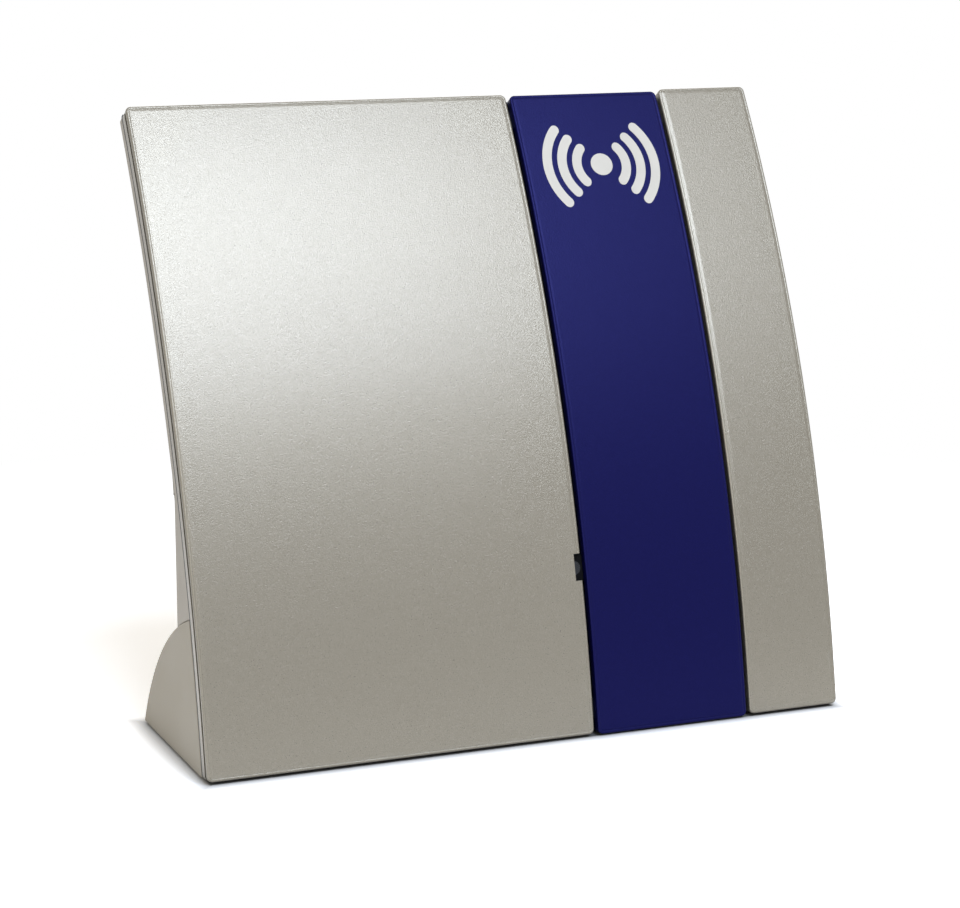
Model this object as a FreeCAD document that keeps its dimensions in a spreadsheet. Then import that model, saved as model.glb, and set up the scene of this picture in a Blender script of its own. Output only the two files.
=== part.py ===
"""Counter hearing loop: a curved, leaning case on a hollow stand, with its coil, board, battery and controls.

Millimetres, +Z up, the face looks along -Y. Pieces are drawn with Y measured from the front edge of the
face's foot, and each is then placed so that the origin lies under the middle of the whole object.
"""
import FreeCAD, Part
import os
from math import acos, asin, atan2, cos, degrees, hypot, pi, radians, sin, sqrt, tan

import Sketcher
from FreeCAD import Placement, Rotation, Vector

ALONG_X = Vector(1, 0, 0)
ALONG_Y = Vector(0, 1, 0)
ALONG_Z = Vector(0, 0, 1)

# How a drawing lies: its own across, up and towards-the-viewer directions in the object's space.
SIDE_VIEW = Rotation(ALONG_Y, ALONG_Z, ALONG_X)
FRONT_VIEW = Rotation(ALONG_X, ALONG_Z, ALONG_Y * -1)
PLAN_VIEW = Rotation()

# Each row: alias, value in millimetres (angles in degrees), meaning.
SIZES = (
    ("case_width", 290.0, "width over the front panels and over the stand"),
    ("face_radius", 695.0, "radius of the curved face, seen from the side"),
    ("lean_bottom", 8.87, "lean of the face at its foot, degrees"),
    ("lean_top", 32.34, "lean of the face at its top, degrees"),
    ("panel_bottom", 1.5, "height of the panels' lower edge above the counter"),
    ("panel_depth", 6.7, "depth of the front panels"),
    ("panel_wall", 2.4, "wall of the front panels"),
    ("panel_corner", 2.4, "corner radius of the front panels"),
    ("edge_round", 1.2, "round on the panels' front edges"),
    ("field_rise", 0.45, "how far each panel's middle field stands proud of its rim"),
    ("field_inset", 1.9, "width of the rim around the raised field"),
    ("field_bevel", 0.4, "bevel on the raised field's edge"),
    ("accent_left", 28.7, "left edge of the coloured panel, from the middle"),
    ("accent_width", 71.3, "width of the coloured panel"),
    ("left_gap", 1.8, "gap on the coloured panel's left"),
    ("right_gap", 1.6, "gap on the coloured panel's right"),
    ("accent_drop", 0.7, "how much lower the coloured panel ends at the top"),
    ("accent_lift", 1.0, "how much higher the coloured panel starts at the foot"),
    ("right_raise", 0.4, "how much higher the right panel ends at the top"),
    ("notch_width", 2.6, "width of the sound notch in the left panel's right edge"),
    ("notch_start", 65.7, "lower end of the notch, along the face from its foot"),
    ("notch_length", 11.6, "length of the notch"),
    ("boss_diameter", 7.0, "screw boss"),
    ("column_left", 27.0, "left screw column, from the case's left edge"),
    ("column_middle", 18.9, "second screw column, from the left panel's right edge"),
    ("column_right", 21.7, "right screw column, from the case's right edge"),
    ("row_low", 24.0, "lowest screw row, along the face from its foot"),
    ("row_middle", 153.0, "middle screw row, along the face from its foot"),
    ("row_top", 23.6, "top screw row, along the face from its top"),
    ("layer_gap", 0.2, "play between the stacked layers and around seated pieces"),
    ("contact_gap", 0.05, "play under a screw head and in a close seat"),
    ("overrun", 1.0, "how far a cut runs past the surface that it opens"),
    ("chassis_thickness", 2.0, "inner chassis"),
    ("chassis_inset", 0.3, "how far the chassis stays inside the case's outline"),
    ("chassis_lift", 0.5, "how far the chassis starts above the panels' lower edge"),
    ("coil_edge", 6.6, "from the case's outline to the coil"),
    ("coil_band", 8.0, "width of the wound coil"),
    ("coil_thickness", 2.6, "thickness of the wound coil"),
    ("coil_corner", 14.0, "outer corner radius of the coil"),
    ("coil_clear", 0.3, "room between the coil and the flanks beside the two gaps, which it passes behind"),
    ("clip_wall", 1.0, "wall of the coil clips"),
    ("clip_width", 8.0, "length of coil that each clip holds"),
    ("clip_low", 80.0, "lower clips of the coil's upright runs, along the face from its foot"),
    ("clip_high", 200.0, "upper clips of the coil's upright runs, along the face from its foot"),
    ("clip_first", -90.0, "first clip of the coil's level runs, from the middle"),
    ("clip_pitch", 77.0, "from one clip of a level run to the next"),
    ("cover_depth", 4.0, "depth of the rear cover's flat part"),
    ("cover_wall", 2.4, "wall of the rear cover"),
    ("cover_inset", 0.4, "how far the rear cover stays inside the case's outline"),
    ("box_rear", 41.5, "back of the rear cover's upright box, from the face's foot"),
    ("box_round", 1.5, "round on the box's upright rear edges"),
    ("stand_depth", 94.0, "rear end of the stand, from the face's foot"),
    ("stand_radius", 120.0, "radius of the stand's curved back"),
    ("stand_top", 55.8, "height at which the stand's back meets the box"),
    ("stand_bottom", 1.0, "height of the stand's lower edge above the counter"),
    ("stand_wall", 2.6, "wall of the stand's back and cheeks"),
    ("stand_front_wall", 2.2, "wall of the stand against the box"),
    ("rib_inset", 35.0, "middle of the stand's two ribs, from the case's edges"),
    ("rib_width", 8.0, "thickness of the stand's ribs"),
    ("rib_root", 1.0, "how far a rib or pillar reaches into the wall that it grows from"),
    ("plate_bottom", 1.4, "height of the base plate's underside"),
    ("plate_thickness", 2.2, "thickness of the base plate and of the battery door"),
    ("door_width", 160.0, "width of the battery door"),
    ("door_strip", 4.05, "strip of the base plate in front of the battery door"),
    ("door_rear_inset", 1.4, "how far the door's rear edge stays inside the stand"),
    ("door_play", 0.15, "play around the battery door"),
    ("tongue_width", 1.5, "side tongues of the battery door"),
    ("tongue_height", 0.7, "height of the tongues"),
    ("tongue_play", 0.1, "play above and below a tongue"),
    ("tongue_end", 4.6, "rear end of the tongues, from the door's rear edge"),
    ("grip_width", 26.0, "grip grooves of the battery door"),
    ("grip_height", 1.2, "width of one grip groove"),
    ("grip_pitch", 2.4, "from one grip groove to the next"),
    ("grip_depth", 0.55, "depth of the grip grooves"),
    ("grip_inset", 10.0, "rearmost grip groove, from the door's rear edge"),
    ("bay_wall", 1.4, "wall of the battery bay"),
    ("cell_diameter", 14.2, "one battery cell"),
    ("cell_length", 50.5, "one battery cell"),
    ("pack_gap", 0.3, "play around the battery pack"),
    ("pack_wrap", 0.25, "film around the battery pack"),
    ("pad_least", 2.0, "least thickness of the pads at the pack's ends"),
    ("foot_diameter", 12.0, "rubber feet"),
    ("foot_inset", 20.0, "rubber feet, from the case's edges"),
    ("rear_foot", 12.5, "rear feet, from the stand's rear end"),
    ("foot_recess", 1.3, "how deep the feet sit in the plastic"),
    ("board_standoff", 8.5, "from the circuit board to the inside of the box's back"),
    ("board_thickness", 1.6, "circuit board"),
    ("board_left", -100.0, "left edge of the circuit board, from the middle"),
    ("board_right", 15.0, "right edge of the circuit board, from the charging socket"),
    ("board_low", 8.0, "height of the circuit board's lower edge"),
    ("board_high", 9.0, "upper edge of the circuit board, above the controls"),
    ("pillar_diameter", 6.4, "pillars that carry the circuit board"),
    ("pillar_inset", 5.0, "pillars, from the board's corners"),
    ("pillar_drop", 1.0, "how much lower the upper pillars stand, clear of the leaning chassis"),
    ("control_rise", 15.2, "height of the controls above the stand's top"),
    ("fascia_side", 10.0, "fascia beside the first and last control"),
    ("fascia_rise", 11.0, "fascia above and below the controls"),
    ("fascia_thickness", 1.2, "control fascia"),
    ("hole_play", 0.1, "play of a control or socket in its hole, at the radius"),
    ("button_place", -58.0, "power button, from the middle"),
    ("button_diameter", 9.0, "power button"),
    ("button_proud", 2.5, "how far the power button stands out"),
    ("button_travel", 1.5, "how far the power button goes in"),
    ("button_flange", 1.0, "flange that keeps the power button in"),
    ("button_round", 0.75, "round on the power button's rim"),
    ("switch_size", 8.5, "width and height of the power switch"),
    ("switch_depth", 4.0, "depth of the power switch"),
    ("plunger_diameter", 3.4, "plunger of the power switch"),
    ("plunger_reach", 1.6, "length of the plunger inside the switch at rest"),
    ("light_place", -44.0, "first status light, from the middle"),
    ("light_pitch", 6.0, "from one status light to the next"),
    ("light_diameter", 3.0, "light pipes"),
    ("light_proud", 0.4, "how far the light pipes stand out"),
    ("led_depth", 2.0, "height of a light-emitting diode on the board"),
    ("knob_place", -22.0, "level knob, from the middle"),
    ("knob_diameter", 15.0, "level knob"),
    ("knob_depth", 10.0, "length of the level knob"),
    ("knob_gap", 0.5, "from the end of the bushing to the level knob"),
    ("knob_roof", 2.0, "wall of the knob over the end of the shaft"),
    ("knob_round", 0.8, "round on the knob's rim"),
    ("flute_diameter", 1.4, "grip flutes of the level knob"),
    ("flute_outset", 0.3, "centres of the flutes, outside the knob's rim"),
    ("flute_end", 2.2, "smooth rim of the knob past the flutes"),
    ("mark_width", 1.0, "pointer groove of the level knob"),
    ("mark_depth", 0.5, "pointer groove of the level knob"),
    ("mark_start", 2.5, "inner end of the pointer groove, from the knob's axis"),
    ("dial_size", 9.5, "width and height of the potentiometer"),
    ("dial_depth", 6.5, "depth of the potentiometer"),
    ("bushing_wall", 0.45, "wall of the potentiometer's bushing"),
    ("bushing_proud", 2.2, "how far the bushing stands out"),
    ("shaft_diameter", 6.0, "shaft of the potentiometer"),
    ("running_gap", 0.05, "play of a turning shaft and of a screw, at the radius"),
    ("nut_flats", 10.0, "width of the potentiometer's nut over its flats"),
    ("nut_depth", 1.8, "thickness of the potentiometer's nut"),
    ("socket_place", 2.0, "first audio socket, from the middle"),
    ("socket_pitch", 15.0, "from one socket to the next"),
    ("socket_size", 8.0, "width and height of an audio socket"),
    ("socket_wall", 1.2, "wall of an audio socket's bushing"),
    ("socket_bore", 3.6, "bore for a 3.5 mm plug"),
    ("socket_bore_depth", 11.0, "depth of the plug's bore"),
    ("socket_proud", 1.8, "how far a socket's bushing stands out"),
    ("socket_nut_wall", 1.2, "wall of an audio socket's ring nut"),
    ("charge_size", 9.6, "width and height of the charging socket"),
    ("charge_wall", 1.2, "wall of the charging socket's bushing"),
    ("charge_proud", 0.4, "how far the charging socket stands out"),
    ("charge_bore", 5.6, "bore for the charger's plug"),
    ("charge_bore_depth", 9.0, "depth of the charging socket's bore"),
    ("charge_pin", 2.1, "centre pin of the charging socket"),
    ("charge_pin_inset", 1.5, "how far the centre pin ends inside the bore"),
    ("screw_diameter", 2.9, "screws"),
    ("screw_head", 5.4, "screw heads"),
    ("screw_head_height", 1.4, "height of the screw heads"),
    ("screw_end", 3.0, "how near the case screws come to the face"),
    ("board_screw_length", 8.0, "board screws under the head"),
    ("stand_screw_length", 10.0, "stand screws under the head"),
    ("stand_screw_low", 22.0, "height of the lower stand screws"),
    ("stand_screw_high", 40.0, "height of the upper stand screws"),
    ("plate_screw_length", 9.0, "base plate screws under the head"),
    ("plate_screw_front", 8.9, "front base plate screws, from the plate's front edge"),
    ("plate_screw_pitch", 17.0, "from the front base plate screws to the rear ones"),
    ("vent_width", 26.0, "length of a vent slot"),
    ("vent_height", 2.2, "height of a vent slot"),
    ("vent_pitch", 5.5, "from one vent slot to the one above"),
    ("vent_space", 6.0, "between two columns of vent slots"),
    ("vent_inset", 16.0, "from the case's edges to the vent slots"),
    ("vent_margin", 3.0, "least space between the fascia and the vent slots"),
    ("vent_drop", 5.0, "lowest vent slot, below the controls"),
    ("lead_diameter", 1.6, "insulated leads"),
    ("lead_hole", 3.4, "holes that the leads pass"),
    ("battery_lead_height", 35.0, "height of the battery lead at the board"),
    ("loop_lead_height", 50.0, "height of the coil's lead"),
    ("window_width", 12.0, "window in the chassis for the coil's lead"),
    ("window_height", 9.0, "window in the chassis for the coil's lead"),
    ("connector_width", 8.0, "connectors on the board"),
    ("connector_height", 6.0, "connectors on the board"),
    ("connector_depth", 4.4, "connectors on the board"),
    ("capsule_diameter", 6.0, "microphone capsule"),
    ("capsule_depth", 2.7, "microphone capsule"),
    ("boot_width", 8.0, "rubber boot of the microphone"),
    ("chip_size", 16.0, "amplifier chip"),
    ("chip_depth", 2.0, "amplifier chip"),
    ("chip_place", -70.0, "amplifier chip, from the middle"),
    ("chip_height", 26.0, "height of the amplifier chip's centre"),
    ("sink_width", 40.0, "heat sink"),
    ("sink_height", 28.0, "heat sink"),
    ("sink_base", 2.0, "base of the heat sink"),
    ("fin_depth", 6.2, "fins of the heat sink"),
    ("fin_thickness", 1.2, "fins of the heat sink"),
    ("capacitor_diameter", 10.0, "storage capacitors"),
    ("capacitor_depth", 12.0, "storage capacitors"),
    ("capacitor_place", -34.0, "first storage capacitor, from the middle"),
    ("capacitor_pitch", 13.0, "from one capacitor to the next"),
    ("capacitor_height", 22.0, "height of the capacitors' centres"),
    ("signal_size", 10.0, "signal chip"),
    ("signal_depth", 1.4, "signal chip"),
    ("signal_place", 33.0, "signal chip, from the middle"),
    ("signal_height", 31.0, "height of the signal chip's centre"),
)
VENT_ROWS = 4
FIN_COUNT = 7
FLUTE_COUNT = 18
GRIP_COUNT = 5
CAPACITOR_COUNT = 3
LEVEL_CLIPS = 3
LIGHT_COUNT = 2
AUDIO_SOCKETS = ("line_input_socket", "microphone_input_socket", "headphone_socket")


class Term:
    """A length: its formula over the sheet's cells and its value in millimetres."""

    def __init__(self, formula, value):
        self.formula = formula
        self.value = value

    def __float__(self):
        return float(self.value)

    def __add__(self, other):
        return Term(f"({self.formula} + {formula_of(other)})", float(self) + float(other))

    def __radd__(self, other):
        return Term(f"({formula_of(other)} + {self.formula})", float(other) + float(self))

    def __sub__(self, other):
        return Term(f"({self.formula} - {formula_of(other)})", float(self) - float(other))

    def __rsub__(self, other):
        return Term(f"({formula_of(other)} - {self.formula})", float(other) - float(self))

    def __mul__(self, other):
        return Term(f"({self.formula} * {formula_of(other)})", float(self) * float(other))

    def __rmul__(self, other):
        return self * other

    def __truediv__(self, other):
        return Term(f"({self.formula} / {formula_of(other)})", float(self) / float(other))

    def __neg__(self):
        return self * -1


def formula_of(length):
    """The formula of a Term, or a plain number written out."""
    return length.formula if isinstance(length, Term) else f"({float(length)!r})"


def bind(feature, prop, length):
    """Binds one property of a feature to a Term's formula. A plain number stays as it was set."""
    if isinstance(length, Term):
        feature.setExpression(prop, length.formula)


def give(feature, prop, length):
    """Sets one property of a feature to a length."""
    setattr(feature, prop, float(length))
    bind(feature, prop, length)


class Sheet:
    """The spreadsheet of driving sizes. Each alias is an attribute that holds its Term."""

    def __init__(self, document, rows):
        sheet = document.addObject("Spreadsheet::Sheet", "Sizes")
        for number, (alias, length, meaning) in enumerate(rows, start=1):
            sheet.set(f"A{number}", meaning)
            sheet.set(f"B{number}", str(length))
            sheet.setAlias(f"B{number}", alias)
            setattr(self, alias, Term(f"Sizes.{alias}", length))


doc = FreeCAD.newDocument("CounterHearingLoop")
size = Sheet(doc, SIZES)
doc.recompute()

# Where the face's arc has its centre, seen from the side.
FACE_RADIUS = float(size.face_radius)
FACE_CENTRE = Vector(FACE_RADIUS * cos(radians(size.lean_bottom)),
                     float(size.panel_bottom) - FACE_RADIUS * sin(radians(size.lean_bottom)), 0)

# Layers behind the face, as depths.
COIL_REAR = size.panel_depth - size.layer_gap
COIL_FRONT = COIL_REAR - size.coil_thickness
CHASSIS_FRONT = size.panel_depth + size.layer_gap
CHASSIS_REAR = CHASSIS_FRONT + size.chassis_thickness
COVER_FRONT = CHASSIS_REAR + size.layer_gap
COVER_REAR = COVER_FRONT + size.cover_depth
COVER_CAVITY = COVER_REAR - size.cover_wall

# Layers from the face's foot to the back.
BOX_INNER = size.box_rear - size.cover_wall
BOARD_REAR = BOX_INNER - size.board_standoff
BOARD_FRONT = BOARD_REAR - size.board_thickness
STAND_FRONT = size.box_rear + size.layer_gap
STAND_INNER_FRONT = STAND_FRONT + size.stand_front_wall
PLATE_FRONT = STAND_INNER_FRONT + size.layer_gap
DOOR_FRONT = PLATE_FRONT + size.door_strip
DOOR_REAR = size.stand_depth - size.door_rear_inset

# Heights.
PLATE_TOP = size.plate_bottom + size.plate_thickness
BOX_FLOOR = size.panel_bottom + size.cover_wall
BAY_ROOF = PLATE_TOP + 2 * size.pack_gap + size.cell_diameter
CELL_HEIGHT = PLATE_TOP + size.pack_gap + size.cell_diameter / 2
CONTROL_ROW = size.stand_top + size.control_rise
BOARD_HIGH = CONTROL_ROW + size.board_high

# Places across.
HALF_WIDTH = size.case_width / 2
LEFT_PANEL = (-HALF_WIDTH, size.accent_left - size.left_gap)
ACCENT_PANEL = (size.accent_left, size.accent_left + size.accent_width)
RIGHT_PANEL = (ACCENT_PANEL[1] + size.right_gap, HALF_WIDTH)
COLUMNS = (size.column_left - HALF_WIDTH, LEFT_PANEL[1] - size.column_middle,
           (ACCENT_PANEL[0] + ACCENT_PANEL[1]) / 2, HALF_WIDTH - size.column_right)
CHEEK_INNER = HALF_WIDTH - size.stand_wall
RECESS_HALF = CHEEK_INNER - size.layer_gap
RIB_PLACE = HALF_WIDTH - size.rib_inset
FOOT_PLACE = HALF_WIDTH - size.foot_inset
DOOR_EDGE = size.door_width / 2 + size.door_play
BATTERY_LEAD_PLACE = -(DOOR_EDGE + size.bay_wall + RIB_PLACE - size.rib_width / 2) / 2
COIL_OUTER = HALF_WIDTH - size.coil_edge
COIL_INNER = COIL_OUTER - size.coil_band
CAPSULE_PLACE = LEFT_PANEL[1] - size.notch_width
LIGHT_PLACES = [size.light_place + size.light_pitch * index for index in range(LIGHT_COUNT)]
SOCKET_PLACES = [size.socket_place + size.socket_pitch * index for index in range(len(AUDIO_SOCKETS))]
CHARGE_PLACE = size.socket_place + size.socket_pitch * len(AUDIO_SOCKETS)
BOARD_RIGHT = CHARGE_PLACE + size.board_right
FASCIA = (size.button_place - size.fascia_side, CHARGE_PLACE + size.fascia_side)

# Diameters that follow from what passes through.
SCREW_HOLE = size.screw_diameter + 2 * size.running_gap
HEAD_HOLE = size.screw_head + 2 * size.layer_gap
FOOT_HOLE = size.foot_diameter + 2 * size.contact_gap
BUSHING = size.shaft_diameter + 2 * (size.running_gap + size.bushing_wall)
SOCKET_BUSHING = size.socket_bore + 2 * size.socket_wall
CHARGE_BUSHING = size.charge_bore + 2 * size.charge_wall


def face_point(depth, angle):
    """The point at a depth behind the face and an angle about its centre, in a side view."""
    reach = FACE_RADIUS - float(depth)
    return FACE_CENTRE + Vector(-cos(angle), sin(angle), 0) * reach


def face_arc(depth, start, end):
    """The arc parallel to the face at a depth, between two angles."""
    return Part.Arc(face_point(depth, start), face_point(depth, (start + end) / 2), face_point(depth, end))


def angle_up(length):
    """The angle at a length along the face from its foot."""
    return radians(size.lean_bottom) + float(length) / FACE_RADIUS


def angle_down(length):
    """The angle at a length along the face from its top."""
    return radians(size.lean_top) - float(length) / FACE_RADIUS


def angle_at_height(depth, height):
    """The angle at which the arc at a depth reaches a height."""
    return asin((float(height) - FACE_CENTRE.y) / (FACE_RADIUS - float(depth)))


def angle_at_rear(depth, rear):
    """The angle at which the arc at a depth reaches a distance from the face's foot."""
    return acos((FACE_CENTRE.x - float(rear)) / (FACE_RADIUS - float(depth)))


def outline(*items):
    """A closed run of arcs and points, joined by straight edges."""
    starts = [item if isinstance(item, Vector) else item.StartPoint for item in items]
    ends = [item if isinstance(item, Vector) else item.EndPoint for item in items]
    edges = []
    for index, item in enumerate(items):
        if not isinstance(item, Vector):
            edges.append(item)
        following = starts[(index + 1) % len(items)]
        if ends[index].distanceToPoint(following) > 1e-6:
            edges.append(Part.LineSegment(ends[index], following))
    return edges


def slab(front, rear, bottom, top):
    """A layer of the case with a level lower end, between two depths."""
    return outline(face_arc(front, angle_at_height(front, bottom), top),
                   face_arc(rear, top, angle_at_height(rear, bottom)))


def band(front, rear, low, top):
    """A layer of the case with both ends square to the face."""
    return outline(face_arc(front, low, top), face_arc(rear, top, low))


def stand_centre():
    """The centre of the stand's curved back, from the two points that it passes and its radius."""
    high = Vector(size.box_rear, size.stand_top, 0)
    low = Vector(size.stand_depth, size.stand_bottom, 0)
    chord = low - high
    reach = sqrt(float(size.stand_radius) ** 2 - (chord.Length / 2) ** 2)
    return (high + low) * 0.5 + Vector(chord.y, -chord.x, 0).normalize() * reach


STAND_CENTRE = stand_centre()
STAND_INNER_RADIUS = size.stand_radius - size.stand_wall
PLATE_RADIUS = STAND_INNER_RADIUS - size.layer_gap


def stand_point_at_height(radius, height):
    """The point at a height on a circle about the centre of the stand's back, in a side view."""
    rise = float(height) - STAND_CENTRE.y
    return Vector(STAND_CENTRE.x + sqrt(float(radius) ** 2 - rise ** 2), height, 0)


def stand_point_at_rear(radius, rear):
    """The point at a distance from the face's foot on a circle about the centre of the stand's back."""
    run = float(rear) - STAND_CENTRE.x
    return Vector(rear, STAND_CENTRE.y + sqrt(float(radius) ** 2 - run ** 2), 0)


def arc_about(centre, start, end):
    """The short arc about a centre from one point to another."""
    middle = (start + end) * 0.5 - centre
    reach = (start - centre).Length
    return Part.Arc(start, centre + middle.normalize() * reach, end)


def stand_slice(front, low, radius):
    """What lies inside a circle about the stand's centre, above a height and behind a place."""
    top = stand_point_at_rear(radius, front)
    return outline(Vector(front, low, 0), arc_about(STAND_CENTRE, top, stand_point_at_height(radius, low)))


def cheek_top(radius, depth):
    """Where a circle about the stand's centre meets the arc at a depth behind the face."""
    towards = FACE_CENTRE - STAND_CENTRE
    radius = float(radius)
    reach = FACE_RADIUS - float(depth)
    along = (towards.Length ** 2 + radius ** 2 - reach ** 2) / (2 * towards.Length)
    ahead = towards / towards.Length
    return STAND_CENTRE + ahead * along + Vector(-ahead.y, ahead.x, 0) * sqrt(radius ** 2 - along ** 2)


def cheek_outline(play):
    """The side of the stand, seen from the side, grown by a play."""
    radius = size.stand_radius + play
    depth = COVER_FRONT - play
    bottom = size.stand_bottom - play
    top = cheek_top(radius, depth)
    top_angle = atan2(top.y - FACE_CENTRE.y, FACE_CENTRE.x - top.x)
    return outline(face_arc(depth, angle_at_height(depth, bottom), top_angle),
                   arc_about(STAND_CENTRE, top, stand_point_at_height(radius, bottom)))


def on_face(across, depth, angle):
    """The point in space at a place across, a depth behind the face and an angle."""
    point = face_point(depth, angle)
    return across, point.x, point.y


def outward(angle):
    """The direction square to the face, pointing out of it, at an angle."""
    return Vector(0, -cos(angle), sin(angle))


def face_view(angle):
    """A drawing that lies parallel to the face at an angle, seen from in front."""
    return Rotation(ALONG_X, Vector(0, sin(angle), cos(angle)), outward(angle))


NOTCH_MIDDLE = angle_up(size.notch_start + size.notch_length / 2)
ROW_LOW = angle_up(size.row_low)
HIGH_ROWS = (angle_up(size.row_middle), angle_down(size.row_top))
COVER_TOP = angle_down(size.cover_inset)

# Cells that the bay has room for, side by side and end to end.
CELLS_LONG = int(float(size.door_width - 2 * (size.pad_least + size.pack_wrap)) // float(size.cell_length))
BAY_ROOM = stand_point_at_height(PLATE_RADIUS, BAY_ROOF + size.bay_wall).x - float(
    DOOR_FRONT + size.bay_wall + 2 * size.pack_wrap + 2 * size.pack_gap)
CELLS_DEEP = max(1, int(BAY_ROOM // float(size.cell_diameter)))
BAY_REAR = DOOR_FRONT + CELLS_DEEP * size.cell_diameter + 2 * size.pack_wrap + 2 * size.pack_gap
PACK_END = CELLS_LONG * size.cell_length / 2 + size.pack_wrap


class Disc:
    """A circle in a drawing, held by its centre and its diameter."""

    def __init__(self, across, up, diameter):
        self.across = across
        self.up = up
        self.diameter = diameter

    def draw_on(self, sketch):
        circle = Part.Circle(Vector(self.across, self.up, 0), ALONG_Z, float(self.diameter) / 2)
        number = sketch.addGeometry(circle, False)
        hold(sketch, "Diameter", (number,), self.diameter)
        hold_point(sketch, number, 3, self.across, self.up)


class Slot:
    """An upright rectangle in a drawing, held by two opposite corners."""

    def __init__(self, across, up):
        self.across = across
        self.up = up

    def draw_on(self, sketch):
        (left, right), (low, high) = self.across, self.up
        corners = [Vector(*corner, 0) for corner in ((left, low), (right, low), (right, high), (left, high))]
        first = sketch.GeometryCount
        for corner, following in zip(corners, corners[1:] + corners[:1]):
            sketch.addGeometry(Part.LineSegment(corner, following), False)
        for index in range(4):
            joined = (first + index, 2, first + (index + 1) % 4, 1)
            sketch.addConstraint(Sketcher.Constraint("Coincident", *joined))
            sketch.addConstraint(Sketcher.Constraint(("Horizontal", "Vertical")[index % 2], first + index))
        hold_point(sketch, first, 1, left, low)
        hold_point(sketch, first + 2, 1, right, high)


def hold(sketch, kind, places, length):
    """Adds one dimension to a drawing, bound to a length's formula."""
    number = sketch.addConstraint(Sketcher.Constraint(kind, *places, float(length)))
    bind(sketch, f"Constraints[{number}]", length)


def hold_point(sketch, line, point, across, up):
    """Holds a point of a drawn line at its distances from the drawing's origin."""
    hold(sketch, "DistanceX", (-1, 1, line, point), across)
    hold(sketch, "DistanceY", (-1, 1, line, point), up)


def draw(sketch, marks):
    """Puts discs, slots and plain edges into a drawing."""
    for mark in marks:
        if isinstance(mark, (Disc, Slot)):
            mark.draw_on(sketch)
        else:
            sketch.addGeometry(mark, False)
    sketch.Visibility = False


def set_spot(feature, prop, spot, turn):
    """Places a feature at a spot, whose coordinates stay bound to the sheet."""
    setattr(feature, prop, Placement(Vector(*spot), turn))
    for axis, length in zip("xyz", spot):
        bind(feature, f"{prop}.Base.{axis}", length)


class Body:
    """One sub-part made as a PartDesign body."""

    def __init__(self, label):
        self.body = doc.addObject("PartDesign::Body", label)
        self.ground = next(plane for plane in self.body.Origin.OriginFeatures if plane.Role == "XY_Plane")

    def extrusion(self, kind, marks, view, spot, length, away):
        """Extrudes a drawing through a spot, towards its viewer or away from them."""
        sketch = self.body.newObject("Sketcher::SketchObject", "Drawing")
        sketch.AttachmentSupport = [(self.ground, "")]
        sketch.MapMode = "FlatFace"
        set_spot(sketch, "AttachmentOffset", spot, view)
        draw(sketch, marks)
        feature = self.body.newObject(f"PartDesign::{kind}", kind)
        feature.Profile = sketch
        feature.Reversed = away == (kind == "Pad")
        give(feature, "Length", length)
        return feature

    def grow(self, marks, view, spot, length, away=False):
        return self.extrusion("Pad", marks, view, spot, length, away)

    def cut(self, marks, view, spot, length, away=False):
        return self.extrusion("Pocket", marks, view, spot, length, away)

    def pad(self, edges, across):
        """Fills an outline, seen from the side, between two places across."""
        return self.grow(edges, SIDE_VIEW, (across[0], 0, 0), across[1] - across[0])

    def pocket(self, edges, across):
        """Cuts an outline, seen from the side, between two places across."""
        return self.cut(edges, SIDE_VIEW, (across[0], 0, 0), across[1] - across[0])

    def block(self, across, back, up, kind="Additive"):
        """Adds or cuts a box between pairs of lengths along X, Y and Z."""
        feature = self.body.newObject(f"PartDesign::{kind}Box", "Block")
        set_spot(feature, "Placement", (across[0], back[0], up[0]), PLAN_VIEW)
        for extent, (low, high) in zip(("Length", "Width", "Height"), (across, back, up)):
            give(feature, extent, high - low)
        return feature

    def room(self, across, back, up):
        return self.block(across, back, up, "Subtractive")

    def rod(self, diameter, spot, direction, length, kind="Additive"):
        """Adds or cuts a round rod from a spot along a direction."""
        feature = self.body.newObject(f"PartDesign::{kind}Cylinder", "Rod")
        set_spot(feature, "Placement", spot, Rotation(ALONG_Z, direction))
        give(feature, "Radius", diameter / 2)
        give(feature, "Height", length)
        return feature

    def hole(self, diameter, spot, direction, length):
        return self.rod(diameter, spot, direction, length, "Subtractive")

    def dress(self, kind, prop, is_wanted, amount):
        """Rounds or bevels the edges of the body's last feature that pass a test."""
        doc.recompute()
        last = self.body.Tip
        names = [f"Edge{number}" for number, edge in enumerate(last.Shape.Edges, start=1) if is_wanted(edge)]
        feature = self.body.newObject(f"PartDesign::{kind}", kind)
        feature.Base = (last, names)
        give(feature, prop, amount)
        return feature

    def fillet(self, is_wanted, amount):
        return self.dress("Fillet", "Radius", is_wanted, amount)

    def chamfer(self, is_wanted, amount):
        return self.dress("Chamfer", "Size", is_wanted, amount)


def depth_of(point):
    """How far a point in space lies behind the face."""
    return FACE_RADIUS - hypot(FACE_CENTRE.x - point.y, point.z - FACE_CENTRE.y)


def ends_of(edge):
    """The two end points of an edge."""
    return edge.Vertexes[0].Point, edge.Vertexes[-1].Point


def runs_through_depth(edge):
    """Whether an edge runs square to the face, as a corner edge of a layer does."""
    first, last = ends_of(edge)
    return abs(first.x - last.x) < 1e-4 and abs(depth_of(first) - depth_of(last)) > float(size.edge_round)


def is_coil_window_corner(edge):
    """Whether an edge is a corner of the coil's inner window."""
    first, _ = ends_of(edge)
    return runs_through_depth(edge) and abs(abs(first.x) - float(COIL_INNER)) < 1e-3


def is_upright_box_edge(edge):
    """Whether an edge is one of the cover's two upright rear edges."""
    first, last = ends_of(edge)
    at_rear = all(abs(point.y - float(size.box_rear)) < 1e-4 for point in (first, last))
    return at_rear and abs(first.z - last.z) > float(size.stand_top)


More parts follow.
